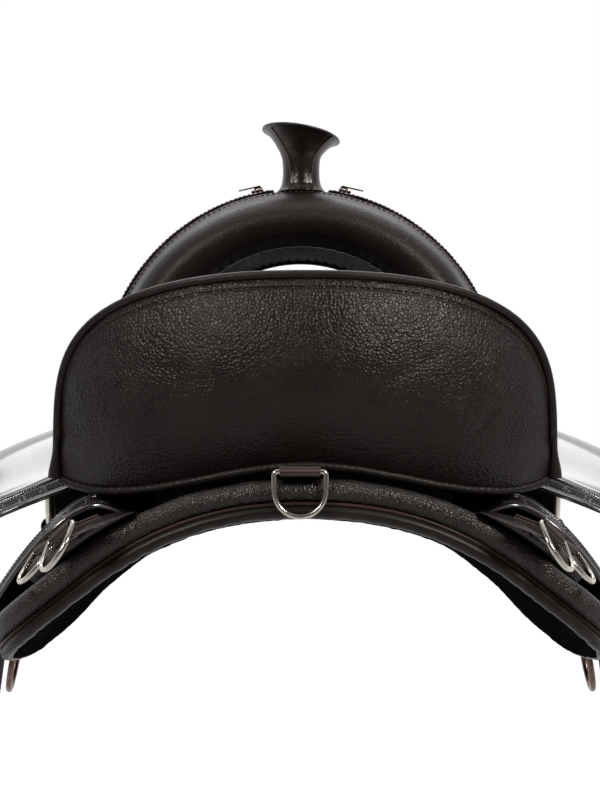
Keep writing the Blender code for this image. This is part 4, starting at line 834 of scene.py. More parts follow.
def stitches(name, paths, up, finish=BROWN_THREAD, body="saddle", pitch=0.0050, length=0.0036,
             radius=0.00048):
    """Rows of raised stitches along paths; up gives the outward direction at a point."""
    rings = ((-0.5, 0.35), (-0.42, 0.8), (-0.2, 1.0), (0.2, 1.0), (0.42, 0.8), (0.5, 0.35))
    verts, faces = [], []
    for path in map(as_array, paths):
        stops = np.arange(pitch / 2, run_of(path)[-1], pitch)
        for at, ahead in zip(at_stops(path, stops), at_stops(path, stops + pitch * 0.3)):
            along = unit(ahead - at)
            out = unit(np.array(tuple(up(at)), float))
            lean = unit(along + unit(np.cross(along, out)) * STITCH_SLANT)
            across = np.cross(lean, out)
            faces += tube_faces(len(rings), 6, start=len(verts))
            for share, width in rings:
                centre = at + lean * share * length + out * radius * (1.0 - 2.2 * share * share)
                for a in round_turns(6):
                    verts.append(centre + (out * math.cos(a) + across * math.sin(a)) * radius * width)
    return keep(mesh_object(name, verts, faces), finish, body)


def solid_from_outline(name, outline, thickness, bevel):
    """Flat plate in X and Y cut to an outline, with rounded edges, its middle at z = 0."""
    count = len(outline)
    verts = [(x, y, z) for z in (-thickness / 2, thickness / 2) for x, y in outline]
    faces = [tuple(range(count)), tuple(range(count, 2 * count))]
    faces += [(i, (i + 1) % count, (i + 1) % count + count, i + count) for i in range(count)]
    obj = mesh_object(name, verts, faces)
    rounded = obj.modifiers.new("Rounded edges", "BEVEL")
    rounded.width = bevel
    rounded.segments = 3
    rounded.limit_method = "ANGLE"
    rounded.angle_limit = math.radians(40)
    return obj


def place_at(obj, matrix):
    obj.data.transform(matrix)
    return obj


# Camera, stage and light

CAMERA_PLACE = (-0.024, -2.47, 0.087)
CAMERA_YAW = -0.5
CAMERA_LENS = 133.8
CAMERA_SENSOR = 36.0
FLOOR_SIZE = 60.0
FLOOR_TOP = -0.58
FLOOR_CLEARANCE = 0.002
FLOOR_LIT = 0.25
FLOOR_SEEN = 0.80
FLOOR_GLOW = 0.81
WORLD_GLOW = 0.26
FLOOR_MIRRORED = (-1.6, 0.8, 0.10, 0.75)
WORLD_MIRRORED = (-0.35, 0.75, -0.20, 0.66)
LAMP_AIM = Vector((0.0, 0.0, 0.08))
LAMPS = (
    ("left_softbox", (-1.65, -2.15, 1.65), (0.60, 0.60), 32.0),
    ("right_softbox", (1.80, -2.05, 1.65), (0.60, 0.60), 44.0),
    ("top_softbox", (0.0, 0.0, 2.4), (2.4, 1.6), 13.0),
    ("front_softbox", (0.0, 1.75, 2.05), (3.0, 1.0), 20.0),
)


def build_camera():
    data = bpy.data.cameras.new("camera")
    data.lens = CAMERA_LENS
    data.sensor_width = CAMERA_SENSOR
    data.sensor_fit = "AUTO"
    camera = bpy.data.objects.new("camera", data)
    camera.location = CAMERA_PLACE
    camera.rotation_euler = (math.radians(90.0), 0.0, math.radians(CAMERA_YAW))
    bpy.context.scene.collection.objects.link(camera)
    bpy.context.scene.camera = camera


def ray_shares(tree):
    """1 for what the camera sees straight or through a glass, and 1 for what a reflection sees."""
    path = node(tree, "LightPath").outputs
    straight = math_node(tree, "MAXIMUM", path["Is Camera Ray"], path["Is Transmission Ray"])
    return straight, math_node(tree, "MULTIPLY", path["Is Glossy Ray"],
                               math_node(tree, "SUBTRACT", 1.0, straight))


def build_stage():
    low = min(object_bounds()[0][2], FLOOR_TOP) - FLOOR_CLEARANCE
    bpy.ops.mesh.primitive_plane_add(size=FLOOR_SIZE, location=(0.0, 0.0, low))
    floor = bpy.context.object
    floor.name = "floor"
    mat, tree, coords = start_material("floor_paint")
    straight, mirrored = ray_shares(tree)
    way = node(tree, "SeparateXYZ", {0: coords}).outputs[1]
    glow = math_node(tree, "MULTIPLY", mirrored, span(tree, way, *FLOOR_MIRRORED))
    glow = math_node(tree, "ADD", math_node(tree, "MULTIPLY", straight, FLOOR_GLOW), glow)
    finish_material(mat, blend_color(tree, straight, [FLOOR_LIT] * 3, [FLOOR_SEEN] * 3), 1.0, more={
        "Specular IOR Level": 0.0, "Emission Color": (1.0, 1.0, 1.0), "Emission Strength": glow})
    floor.data.materials.append(mat)

    world = bpy.data.worlds.new("studio")
    world.use_nodes = True
    tree = world.node_tree
    straight, mirrored = ray_shares(tree)
    way = node(tree, "SeparateXYZ", {0: node(tree, "TexCoord").outputs["Generated"]}).outputs[1]
    glow = math_node(tree, "MULTIPLY", mirrored, span(tree, way, *WORLD_MIRRORED))
    strength = math_node(tree, "ADD", span(tree, straight, 0.0, 1.0, WORLD_GLOW, 1.0), glow)
    plug(tree, tree.nodes["Background"], {"Strength": strength, "Color": (1.0, 1.0, 1.0)})
    bpy.context.scene.world = world


def build_light():
    for name, place, size, power in LAMPS:
        data = bpy.data.lights.new(name, "AREA")
        data.shape = "RECTANGLE"
        data.size, data.size_y = size
        data.energy = power
        obj = bpy.data.objects.new(name, data)
        obj.location = place
        obj.rotation_euler = (LAMP_AIM - Vector(place)).to_track_quat("-Z", "Y").to_euler()
        bpy.context.scene.collection.objects.link(obj)


# Pad

PAD_ROLL = 0.0080
PAD_SEAM_INSET = 0.016
PAD_SEAM_HALF = 0.005
PAD_SEAM_DEPTH = 0.0012
PAD_PIPING_RADIUS = 0.0016
FLEECE_HOLLOW = 0.0060
LINING_ROLL = 0.0050


def pad_surface(height, inset):
    def surface(u, v):
        share = inset / PAD_LENGTH
        x, y = pad_place(u * (1 - inset / PAD_HALF_MIDDLE), mix(share, 1 - share, v))
        return on_back(x, y, height)
    return surface


def crowded(count, power=1.6):
    """Values 0 to 1, closer together at both ends."""
    return [0.5 + 0.5 * math.copysign(1 - (1 - abs(t)) ** power, t) for t in even(-1, 1, count)]


def build_pad():
    us = [2 * t - 1 for t in crowded(150, 1.25)]
    vs = crowded(170, 1.25)

    def waves(u, v, place, point):
        near_edge = ridge(place[2], 0.03)
        seam = PAD_SEAM_DEPTH * ridge(place[2] - PAD_SEAM_INSET, PAD_SEAM_HALF)
        return 0.0009 * near_edge * rumple(point, 0.022, 3.0) - seam

    pad = form("pad_face", pad_surface(LINING_THICKNESS + GAP + PAD_THICKNESS / 2, PAD_ROLL), us, vs,
               PAD_THICKNESS / 2 - 0.0006, PAD_THICKNESS / 2, PAD_ROLL + 0.0012, rim_steps=12, relief=waves)
    keep(pad, [PAD_LEATHER, PAD_LEATHER], stands_for=["pad_body"])

    def curls(u, v, place, point):
        worn = FLEECE_HOLLOW * ease((place[2] - 0.020) / 0.060)
        return -max(spine_groove(point[0], v), worn) + 0.0008 * rumple(point, 0.006, 5.0)

    roll = form("pad_roll", pad_surface(LINING_THICKNESS / 2, LINING_ROLL), us, vs,
                LINING_THICKNESS / 2, LINING_THICKNESS / 2, LINING_ROLL + 0.0016, rim_steps=12,
                under_relief=curls)
    keep(roll, [ROLLED_LEATHER, FLEECE], stands_for=["pad_lining"])

    border = pad_surface(LINING_THICKNESS + GAP * 0.5, 0.0014)
    path = [border(-1.0, v) for v in even(0, 1, 160)] + [border(u, 1.0) for u in even(-1, 1, 140)[1:]]
    path += [border(1.0, v) for v in even(1, 0, 160)[1:]] + [border(u, 0.0) for u in even(1, -1, 140)[1:-1]]
    seam = sweep("pad_piping", path, PAD_PIPING_RADIUS, cyclic=True, sides=8)
    keep(seam, BROWN_PIPING)


# Cantle

def crease(u, v, along, across, turn, length, width, depth):
    """Crease in the leather at a place, turned by an angle in degrees."""
    a = math.radians(turn)
    s = (u - along) * math.cos(a) + (v - across) * math.sin(a)
    t = -(u - along) * math.sin(a) + (v - across) * math.cos(a)
    bow = 0.25 * s * s / length
    return -depth * ridge(s, length) * ridge(t - bow, width)


CANTLE_CREASES = (
    (0.30, 0.52, 62.0, 0.34, 0.050, 0.0006), (0.38, 0.60, 58.0, 0.26, 0.040, 0.0005),
    (0.47, 0.50, 70.0, 0.26, 0.040, 0.0005), (0.62, 0.40, 88.0, 0.20, 0.026, 0.0006),
    (-0.55, 0.66, -40.0, 0.24, 0.060, 0.0005), (-0.30, 0.45, -70.0, 0.22, 0.060, 0.0004),
)


def cantle_relief(u, v, place, point):
    height = 0.0010 * rumple(point, 0.055, 1.0) + 0.0003 * rumple(point, 0.014, 2.0)
    height += sum(crease(u, v, *c) for c in CANTLE_CREASES)
    pucker = math.sin(place[0] * 2 * math.pi / 0.0040 + 3.0 * rumple(point, 0.02, 4.0))
    height += 0.00024 * pucker * ease(1 - v / 0.20) * (0.5 + 0.5 * abs(u))
    height -= 0.0010 * ridge(v - 0.955, 0.012)
    return height


CANTLE_STITCH_SHARE = 0.967
FLARE_OUT = 0.0052
FLARE_DROP = 0.0030
FLARE_RADIUS = 0.0056


def build_cantle():
    half = LEATHER_THICKNESS / 2

    def middle(u, v):
        return cantle_back_point(u, v) + Vector((0, half, 0))

    back = form("cantle_skin", middle, even(-1, 1, 300), even(0, 1, 130), half, half, half * 0.8,
                relief=cantle_relief)
    keep(back, [PEBBLED, PEBBLED], stands_for=["cantle_back"])

    hem = [cantle_hem(u) + Vector((0, half, -WELT_RADIUS - SEAT_GAP / 2)) for u in even(-1, 1, 260)]
    hem = [p + Vector((0, 0, 0.0003 * rumple(p, 0.012, 6.0))) for p in hem]
    welt = sweep("cantle_hem_welt", hem, lambda t: WELT_RADIUS * (1 + 0.05 * math.sin(t * 420)), sides=14)
    keep(welt, SOFT_LEATHER, stands_for=["cantle_welt"])

    def binding_point(u):
        along = on_outline(u + 0.01) - on_outline(u - 0.01)
        outward = Vector((-along.z, 0.0, along.x)).normalized()
        return on_outline(u) + outward * (BINDING_RADIUS + SEAT_GAP) + Vector((0.0, half, 0.0))

    edge = [binding_point(u) for u in even(-0.90, 0.90, 240)]
    foot = cantle_hem(1.0) + Vector((FLARE_OUT, half, -FLARE_DROP))
    turn = Vector((edge[-1].x + 0.0012, foot.y, mix(edge[-1].z, foot.z, 0.62)))
    tail = [edge[-1].lerp(turn, t).lerp(turn.lerp(foot, t), t) for t in even(0.03, 1.0, 40)]
    edge = [p * Vector((-1, 1, 1)) for p in tail[::-1]] + edge + tail

    def thickness(t):
        return mix(BINDING_RADIUS, FLARE_RADIUS, ease((abs(2 * t - 1) - 0.80) / 0.16))

    binding = sweep("cantle_edge_binding", edge, thickness, sides=14)
    keep(binding, SOFT_LEATHER, stands_for=["cantle_binding"])

    row = [cantle_back_point(u, CANTLE_STITCH_SHARE) + Vector((0, -0.0002, 0))
           for u in even(-0.97, 0.97, 300)]
    stitches("cantle_stitching", [row], lambda at: (0.3 * at[0], -1.0, 0.25))


# Seat

SEAT_CHANNELS = (0.22, 0.36, 0.50, 0.64, 0.76)
SEAT_SEAMS_ALONG = (-0.765, -0.715, 0.715, 0.765)
SEAT_SEAMS_ACROSS = (0.845, 0.875)
SEAT_STITCH_SINK = Vector((0, 0, -0.0006))


def build_seat():
    def relief(u, v, place, point):
        seam = max(ridge(abs(u) - 0.74, 0.045) * ease(v / 0.12) * ease((1 - v) / 0.10),
                   ridge(v - 0.86, 0.030) * ease((0.80 - abs(u)) / 0.1),
                   ridge(v - 0.07, 0.022) * ease((0.80 - abs(u)) / 0.1))
        channel = 0.0
        for stop in SEAT_CHANNELS:
            channel = max(channel, ridge(v - stop - 0.03 * u * u, 0.020) * ease((0.70 - abs(u)) / 0.06))
        swell = 0.0016 * ease((0.70 - abs(u)) / 0.3) * ease((0.84 - v) / 0.1) * ease((v - 0.08) / 0.1)
        return swell - 0.0032 * seam - 0.0016 * channel + 0.0005 * rumple(point, 0.05, 8.0)

    def below(u, v):
        return seat_thickness(u, v) - 0.0006

    seat = form("seat_cushion", seat_point, even(0.985, -0.985, 200), even(0.008, 0.992, 220), 0.0, below,
                0.0022, rim_steps=8, relief=relief)
    keep(seat, [SEAT_LEATHER, LINING_LEATHER], stands_for=["seat"])

    rows = [[seat_point(u, v) + SEAT_STITCH_SINK for v in even(0.09, 0.84, 200)] for u in SEAT_SEAMS_ALONG]
    rows += [[seat_point(u, v) + SEAT_STITCH_SINK for u in even(-0.70, 0.70, 160)] for v in SEAT_SEAMS_ACROSS]
    stitches("seat_stitching", rows, lambda at: (at[0] * 0.6, 0.2, 1.0))


# Pommel

POMMEL_SEAMS = (0.408, 0.617)
POMMEL_LINING_FROM = 0.0190
POMMEL_LINING_TO = 0.1085


def from_arch_centre(at):
    return at[0], 0.0, at[2] - ARCH_CENTRE_Z


def build_pommel():
    section = pommel_section(88)
    edge_mark = len(section) - 1

    def cover_point(u, v):
        place = u * edge_mark
        k = min(int(place), edge_mark - 1)
        y, radius = section[k].lerp(section[k + 1], place - k)
        return round_arch(radius, y, mix(-ARCH_HALF_ANGLE, ARCH_HALF_ANGLE, v))

    def relief(u, v, place, point):
        angle = mix(-ARCH_HALF_ANGLE, ARCH_HALF_ANGLE, v)
        height = 0.0006 * rumple(point, 0.045, 9.0)
        foot = ease((abs(angle) - 62) / 30)
        height += 0.0007 * foot * math.sin(u * 46 + 2.5 * rumple(point, 0.03, 10.0))
        gather = math.sin(math.radians(angle) * 74 + 1.8 * rumple(point, 0.02, 11.0))
        height += 0.00035 * gather * (ease(1 - u / 0.07) + ease((u - 0.93) / 0.07))
        return height - 0.0008 * (ridge(u - 0.425, 0.012) + ridge(u - 0.60, 0.012))

    half = POMMEL_SKIN / 2

    def middle(u, v):
        return cover_point(u, v) + (round_arch(0.150, POMMEL_REAR_Y + 0.062, mix(-100, 100, v))
                                    - cover_point(u, v)).normalized() * half

    us, vs = even(1, 0, 110), even(0, 1, 260)
    cover = form("pommel_skin", middle, us, vs, half, half, half * 0.8, relief=relief)
    keep(cover, [SOFT_LEATHER, LINING_LEATHER], stands_for=["pommel_cover"])

    for end, radius, from_rear, thickness in (
            ("rear", ARCH_INNER_RADIUS_REAR - 0.0006, 0.0165, 0.0013),
            ("front", ARCH_INNER_RADIUS_FRONT - 0.0002, 0.1105, 0.0016)):
        rim = [round_arch(radius, POMMEL_REAR_Y + from_rear, a) for a in even(-99, 99, 240)]
        keep(sweep("pommel_%s_piping" % end, rim, thickness, sides=8), SOFT_LEATHER)

    def lining_point(u, v):
        y = POMMEL_REAR_Y + mix(POMMEL_LINING_FROM, POMMEL_LINING_TO, u)
        angle = mix(ARCH_HALF_ANGLE - 1, 1 - ARCH_HALF_ANGLE, v)
        pleat = math.sin(math.radians(angle) * 88 + 1.5 * rumple((angle * 0.02, 0, u), 0.3, 12.0))
        return round_arch(rim_radius(y) + LINING_SKIN / 2 - 0.0007 * pleat * (0.3 + 0.7 * u), y, angle)

    lining = form("pommel_gathers", lining_point, even(0, 1, 24), even(0, 1, 560), LINING_SKIN / 2,
                  LINING_SKIN / 2, LINING_SKIN / 2)
    keep(lining, [LINING_LEATHER, LINING_LEATHER], stands_for=["pommel_lining"])

    rows = [[cover_point(u, v) for v in even(0.10, 0.90, 300)] for u in POMMEL_SEAMS]
    stitches("pommel_stitching", rows, from_arch_centre)


# Horn

HORN_BASE = ARCH_CENTRE_Z + ARCH_OUTER_RADIUS + SEAT_GAP
HORN_STEPS = 120
SEAM_ANGLES = (-148.0, -32.0, 32.0, 148.0)
SEAM_DRIFT = 24.0


def horn_radius(t):
    flare = max(0.0, (t - 0.52) / 0.48)
    foot = max(0.0, (0.16 - t) / 0.16)
    waist = HORN_NECK_RADIUS * (1.06 - 0.10 * math.sin(math.pi * clamp(t / 0.7)))
    return waist + (HORN_CAP_RADIUS - HORN_NECK_RADIUS) * flare ** 1.9 + 0.0035 * foot ** 2


def horn_point(radius, angle, t):
    """Point on the horn: its foot follows the arch and its cap leans to the right and forwards."""
    a = math.radians(angle)
    x, y = radius * math.cos(a), radius * math.sin(a)
    lean = ease((clamp(t) - 0.35) / 0.65)
    z = HORN_BASE + t * HORN_HEIGHT
    sag = ARCH_OUTER_RADIUS - math.sqrt(ARCH_OUTER_RADIUS ** 2 - x * x)
    z -= sag * (1 - ease(t / 0.35))
    tilt_side, tilt_front = (math.tan(math.radians(a)) for a in (HORN_CAP_TILT_SIDE, HORN_CAP_TILT_FRONT))
    z -= (tilt_side * x + tilt_front * y) * lean
    return Vector((x, HORN_Y + y, z))


def seam_angle(angle, t):
    """A seam runs in from the cap's rim towards the middle of the neck's side."""
    toward = math.copysign(1.0, math.cos(math.radians(angle)))
    rear = -1.0 if angle < 0 else 1.0
    return angle + rear * toward * SEAM_DRIFT * (1 - ease((t - 0.35) / 0.65))


def build_horn():
    profile = [(horn_radius(t), t) for t in even(0.0, 0.94, 60)]
    profile += [(HORN_CAP_RADIUS * r, t) for r, t in (
        (1.0, 0.955), (1.0, 0.97), (0.985, 0.985), (0.95, 0.998), (0.90, 1.006), (0.86, 1.010),
        (0.75, 1.018), (0.55, 1.026), (0.30, 1.030), (0.08, 1.031))]
    verts, place = [], []
    for radius, t in profile:
        for angle in even(-180.0, 180.0, HORN_STEPS)[:-1]:
            turn = math.radians(angle)
            extra = 0.0003 * rumple((radius * math.cos(turn), radius, t * 0.05), 0.012, 13.0)
            for seam in SEAM_ANGLES:
                gap = (angle - seam_angle(seam, t) + 180.0) % 360.0 - 180.0
                extra += 0.0007 * ridge(math.radians(gap) * radius, 0.0016) * ease((0.97 - t) / 0.05)
            verts.append(horn_point(radius + extra * clamp(radius / 0.01), angle, t))
            place.append((turn * radius, t * HORN_HEIGHT, 0.01))
    horn = mesh_object("horn_leather", verts, tube_faces(len(profile), HORN_STEPS), place)
    keep(horn, HORN_LEATHER, stands_for=["horn"])

    rows = [[horn_point(horn_radius(t) + 0.0006, seam_angle(seam, t), t) for t in even(0.06, 0.93, 60)]
            for seam in SEAM_ANGLES]
    stitches("horn_stitching", rows, lambda at: (at[0], at[1] - HORN_Y, 0.0), pitch=0.0030, length=0.0028,
             radius=0.0005)


# Zips

ZIP_COILS = 110
ZIP_COIL_RISE = 0.0004
ZIP_COIL_HALF = 0.0021


def build_zip(name, side):
    radius = ARCH_OUTER_RADIUS + GAP + ZIP_TAPE_THICKNESS
    middle_y = POMMEL_REAR_Y + ZIP_FROM_REAR

    def tape(u, v):
        angle = mix(ZIP_START_ANGLE, ZIP_END_ANGLE, v)
        ripple = 0.00025 * math.sin(v * 60) * abs(2 * u - 1)
        y = middle_y + (0.5 - u) * ZIP_TAPE_WIDTH
        return round_arch(radius - ZIP_TAPE_THICKNESS / 2 + ripple, y, angle)

    piece = form("zip_fabric_" + name, tape, even(0, 1, 24), even(0, 1, 160), ZIP_TAPE_THICKNESS / 2,
                 ZIP_TAPE_THICKNESS / 2, 0.0005, side=side)
    keep(piece, [TAPE, TAPE], stands_for=["zip_tape_" + name])
    coil = []
    for turn in even(0, ZIP_COILS, ZIP_COILS * 8):
        a = 2 * math.pi * turn
        angle = mix(ZIP_START_ANGLE + 6.0, ZIP_END_ANGLE, turn / ZIP_COILS)
        coil.append(round_arch(radius + ZIP_COIL_RISE * (1 + math.cos(a)),
                               middle_y + ZIP_COIL_HALF * math.sin(a), side * angle))
    keep(sweep("zip_teeth_" + name, coil, 0.0003, sides=6), DARK_METAL)
    rows = [[round_arch(radius, middle_y + s * ZIP_TAPE_WIDTH * 0.40, side * a) for a in even(9, 79, 120)]
            for s in (-1, 1)]
    stitches("zip_stitching_" + name, rows, from_arch_centre, pitch=0.0042,
             length=0.0030, radius=0.0004)

    turn = Matrix.Rotation(side * math.radians(ZIP_SLIDER_ANGLE), 4, "Y")
    base = Matrix.Translation((0.0, middle_y, ARCH_CENTRE_Z)) @ turn
    slider_z = radius + ZIP_SLIDER_HEIGHT / 2 + 2 * SEAT_GAP
    long, wide = ZIP_SLIDER_LENGTH / 2, ZIP_SLIDER_WIDTH / 2
    shape = [(-long, -wide * 0.85), (-long * 0.6, -wide), (long * 0.2, -wide), (long, -wide * 0.6),
             (long, wide * 0.6), (long * 0.2, wide), (-long * 0.6, wide), (-long, wide * 0.85)]
    shape = [(side * x, y) for x, y in shape]
    plate = solid_from_outline("slider_plate_" + name, shape, ZIP_SLIDER_HEIGHT * 0.50, 0.0007)
    place_at(plate, base @ Matrix.Translation((0, 0, slider_z - ZIP_SLIDER_HEIGHT * 0.13)))
    keep(plate, DARK_METAL, "zip_slider_" + name, ["zip_slider_" + name])
    bail = [Vector((side * x, 0.0, slider_z + z)) for x, z in (
        (-0.0042, 0.0004), (-0.0040, 0.0016), (-0.0028, 0.0021), (-0.0010, 0.0021), (0.0008, 0.0021),
        (0.0016, 0.0016), (0.0018, 0.0004))]
    bridge = sweep("slider_bridge_" + name, [base @ p for p in bail], 0.0008, sides=8)
    keep(bridge, DARK_METAL, "zip_slider_" + name)

    pull_z = slider_z + ZIP_SLIDER_HEIGHT / 2 + SEAT_GAP + ZIP_PULL_THICKNESS / 2
    wide = ZIP_PULL_WIDTH / 2
    shape = [(0.0, -wide), (ZIP_PULL_LENGTH * 0.3, -wide * 0.75), (ZIP_PULL_LENGTH * 0.72, -wide * 0.68),
             (ZIP_PULL_LENGTH * 0.93, -wide * 0.62), (ZIP_PULL_LENGTH, -wide * 0.3)]
    shape += [(x, -y) for x, y in shape[::-1]]
    shape = [(side * (x - ZIP_SLIDER_LENGTH * 0.35), y) for x, y in shape]
    tag = solid_from_outline("zip_tag_" + name, shape, ZIP_PULL_THICKNESS, 0.0005)
    place_at(tag, base @ Matrix.Translation((0, 0, pull_z)))
    keep(tag, DARK_METAL, "zip_pull_" + name, ["zip_pull_" + name])


# Side leathers with their tooled borders

BORDER_WIDTH = 0.0155
BORDER_LIFT = 0.0007
BORDER_START = 0.0008
BORDER_CORNER = 0.020
BORDER_STEP = 0.00062
BORDER_ROWS = 26


def border_relief(run, inward):
    """Stamped border: a burnished edge, slanted cuts with a scroll now and then, and a rope."""
    bevel = -0.0009 * ease(1 - inward / 0.0016)
    grooves = -0.0009 * (ridge(inward - 0.0030, 0.0008) + ridge(inward - 0.0112, 0.0008))
    rope = 0.0010 * ridge(inward - 0.0132, 0.0014) * abs(math.sin(math.pi * run / 0.0026 + inward * 900))
    field = ease((inward - 0.0034) / 0.0008) * ease((0.0108 - inward) / 0.0008)
    scroll_run = (run + 0.011) % 0.022 - 0.011
    from_scroll = math.hypot(scroll_run, inward - 0.0071)
    spiral = math.sin(from_scroll * 2 * math.pi / 0.0021 + math.atan2(inward - 0.0071, scroll_run))
    cuts = math.sin(2 * math.pi * (run + 0.8 * inward) / 0.0032)
    stamp = mix(spiral, cuts, ease((from_scroll - 0.0032) / 0.0008))
    return bevel + grooves + rope + 0.0008 * field * stamp


def build_border(name, surface, size, side):
    """Narrow strip laid round a leather's rear, outer and front edges."""
    wide, long = size
    corner = BORDER_CORNER
    path = [(s, 0.0) for s in even(0.004, wide - corner, 60)]
    path += arc(wide - corner, corner, corner, -90, 0, 12)[1:]
    path += [(wide, s) for s in even(corner, long - corner, 90)[1:]]
    path += arc(wide - corner, long - corner, corner, 0, 90, 12)[1:]
    path = as_array(path + [(s, long) for s in even(wide - corner, 0.004, 60)[1:]])
    length = run_of(path)[-1]
    steps = int(length / BORDER_STEP)
    stops = np.linspace(0, length, steps)
    at = at_stops(path, stops)
    ahead = unit(np.gradient(at, axis=0))
    inward = np.stack([-ahead[:, 1], ahead[:, 0]], axis=1)

    def strip(u, v):
        i = int(round(v * (steps - 1)))
        spot = at[i] + inward[i] * mix(BORDER_START, BORDER_WIDTH, u)
        return surface(clamp(spot[0] / wide), clamp(spot[1] / long))

    def relief(u, v, place, point):
        fade = ease((1 - u) * BORDER_WIDTH / 0.0012)
        return (BORDER_LIFT + border_relief(v * length, u * BORDER_WIDTH)) * fade

    piece = form(name, strip, even(1, 0, BORDER_ROWS), list(stops / length), 0.0, 0.0004, 0.0002,
                 side=side, rim_steps=2, relief=relief)
    keep(piece, [TOOLED_LEATHER, TOOLED_LEATHER])


JOCKEY_LIP = (0.0085, 0.055)
SKIRT_LIP = (0.0085, 0.045)


def lipped(surface, lip):
    """The surface with its rear edge rolled down, so that its tooled border shows from behind."""
    drop, share = lip
    return lambda u, v: surface(u, v) - Vector((0, 0, drop * ease(1 - v / share)))


def build_side_leathers(name, side):
    for kind, surface, thickness, size, seed in (
            ("jockey", lipped(jockey_point, JOCKEY_LIP), JOCKEY_THICKNESS, (0.165, 0.365), 15.0),
            ("skirt", lipped(skirt_point, SKIRT_LIP), SKIRT_THICKNESS, (0.190, 0.465), 16.0)):
        def ripple(u, v, place, point, seed=seed):
            return 0.0006 * rumple(point, 0.09, seed) * ease(place[2] / 0.02)

        panel = form("%s_leather_%s" % (kind, name), surface, even(0, 1, 60), crowded(150, 1.6), 0.0,
                     thickness, 0.0012, side=side, rim_steps=6, relief=ripple)
        keep(panel, [GLOSSY_LEATHER, LINING_LEATHER],
             stands_for=["%s_%s" % (kind, name)])
        build_border("%s_border_%s" % (kind, name), surface, size, side)


PANEL_ROLL = 0.0040


def build_panel(name, side):
    """Stuffed panel between the pad and the skirt, with a rolled edge and a sunk seam line just inside it."""
    def spot(u, v):
        y = mix(PANEL_REAR_Y + PANEL_ROLL, PANEL_FRONT_Y - PANEL_ROLL, v)
        taper = PANEL_OUTER_TAPER * (1 - ease((y - PANEL_REAR_Y) / PANEL_REAR_RUN))
        return mix(PANEL_INNER_HALF + PANEL_ROLL, PANEL_OUTER_HALF - taper - PANEL_ROLL, u), y

    def middle(u, v):
        return panel_point(*spot(u, v)).lerp(above_back(*spot(u, v), PAD_TOP + GAP), 0.5)

    def half(u, v):
        return (panel_point(*spot(u, v)).z - above_back(*spot(u, v), PAD_TOP + GAP).z) * 0.36

    def relief(u, v, place, point):
        return 0.0006 * rumple(point, 0.03, 18.0) - 0.0007 * ridge(place[2] - 0.0055, 0.0016)

    panel = form("side_panel_leather_" + name, middle, even(0, 1, 70), even(0, 1, 150), half, half,
                 PANEL_ROLL * 0.9, side=side, rim_steps=10, relief=relief)
    keep(panel, [PAD_LEATHER, PAD_LEATHER], stands_for=["side_panel_" + name])


# Rings and webbing

def arc(x, z, radius, start, end, steps):
    """Places on an arc about (x, z), between two angles in degrees."""
    return [(x + radius * math.cos(a), z + radius * math.sin(a))
            for a in even(math.radians(start), math.radians(end), steps)]


def dee_points(width, drop, wire, corner=0.0025):
    """Centre line of a D-ring: bar along X through the origin, bow towards -Z."""
    half = width / 2 - wire
    inner = half - corner
    outline = [(x, 0.0) for x in even(-inner, inner, 10)[1:-1]] + arc(inner, -corner, corner, 90, 0, 6)
    outline += arc(0.0, 2 * wire - drop + half, half, 0, -180, 40) + arc(-inner, -corner, corner, 180, 90, 6)
    return [Vector((x, 0.0, z)) for x, z in outline]


def hanging_frame(origin, normal, down):
    """Matrix with Y square to the carrying surface and -Z the way the ring hangs."""
    y = normal.normalized()
    z = (y * down.dot(y) - down).normalized()
    matrix = Matrix((y.cross(z), y, z)).transposed().to_4x4()
    matrix.translation = origin
    return matrix


def fold_path(bore, ply, under):
    """Middle line of a strap folded round a bar, as (z, y) points from its lower end."""
    radius = bore + ply / 2
    between = ply + PLY_GAP
    meet = math.asin((radius - between) / radius)
    bow = [Vector((radius * math.cos(a), radius * math.sin(a)))
           for a in even(math.radians(-90), -2 * math.pi - meet, 24)]
    lower = [Vector((z, y + ply / 2)) for z, y in under]
    return as_array(lower[::-1] + bow + [point + Vector((0.0, between)) for point in lower])


def folded_strap(name, bore, ply, width, tails, matrix, rib=0.0, step=0.0004):
    """Strap folded round a bar along X, both plies running up +Z; tails are their undersides."""
    paths = [fold_path(bore, ply, under) for under in tails]
    lengths = [run_of(path)[-1] for path in paths]
    count = int(max(lengths) / step)
    lines = [at_stops(path, np.linspace(0, length, count)) for path, length in zip(paths, lengths)]
    stations = len(lines) - 1

    def middle(u, v):
        k = min(int(u * stations), stations - 1)
        i = int(round(v * (count - 1)))
        z, y = mix(lines[k][i], lines[k + 1][i], u * stations - k)
        return Vector(((u - 0.5) * (width - ply * 0.6), y, z))

    def relief(u, v, place, point):
        return rib * abs(math.sin(math.pi * place[1] / RIB_PITCH)) - rib

    strap = form(name, middle, even(0, 1, 12), even(0, 1, count - 1), ply / 2, ply / 2,
                 ply * 0.3, relief=relief, under_relief=relief)
    return place_at(strap, matrix)


def straight_tail(bore, ply, length):
    return [[(length, -bore - ply)]] * 2


def ring_ground(x, y):
    """What a side ring's tab lies on: the skirt, or the panel behind the skirt's rear edge."""
    return panel_point(x, y) if y < SKIRT_REAR_Y else skirt_face(x, y)


def on_ring_ground(x, y, side, height):
    """Point above what the tab lies on, its outward normal, and the ways across and along it."""
    step = 0.004
    across = ring_ground(x + step, y) - ring_ground(x - step, y)
    along = ring_ground(x, y + step) - ring_ground(x, y - step)
    normal = across.cross(along).normalized()
    mirror = Vector((side, 1, 1))
    point = (ring_ground(x, y) + normal * height) * mirror
    return point, normal * mirror, across.normalized() * mirror, along.normalized() * mirror


def tail_on_ground(matrix, across, side, lift):
    to_local = matrix.inverted()
    tail = []
    for reach in even(SIDE_TAB_BEND, SIDE_TAB_LENGTH, 3):
        under = matrix @ Vector((across * WEBBING_WIDTH, 0.0, reach))
        rest = to_local @ on_ring_ground(abs(under.x), under.y, side, lift)[0]
        tail.append((rest.z, rest.y))
    return tail


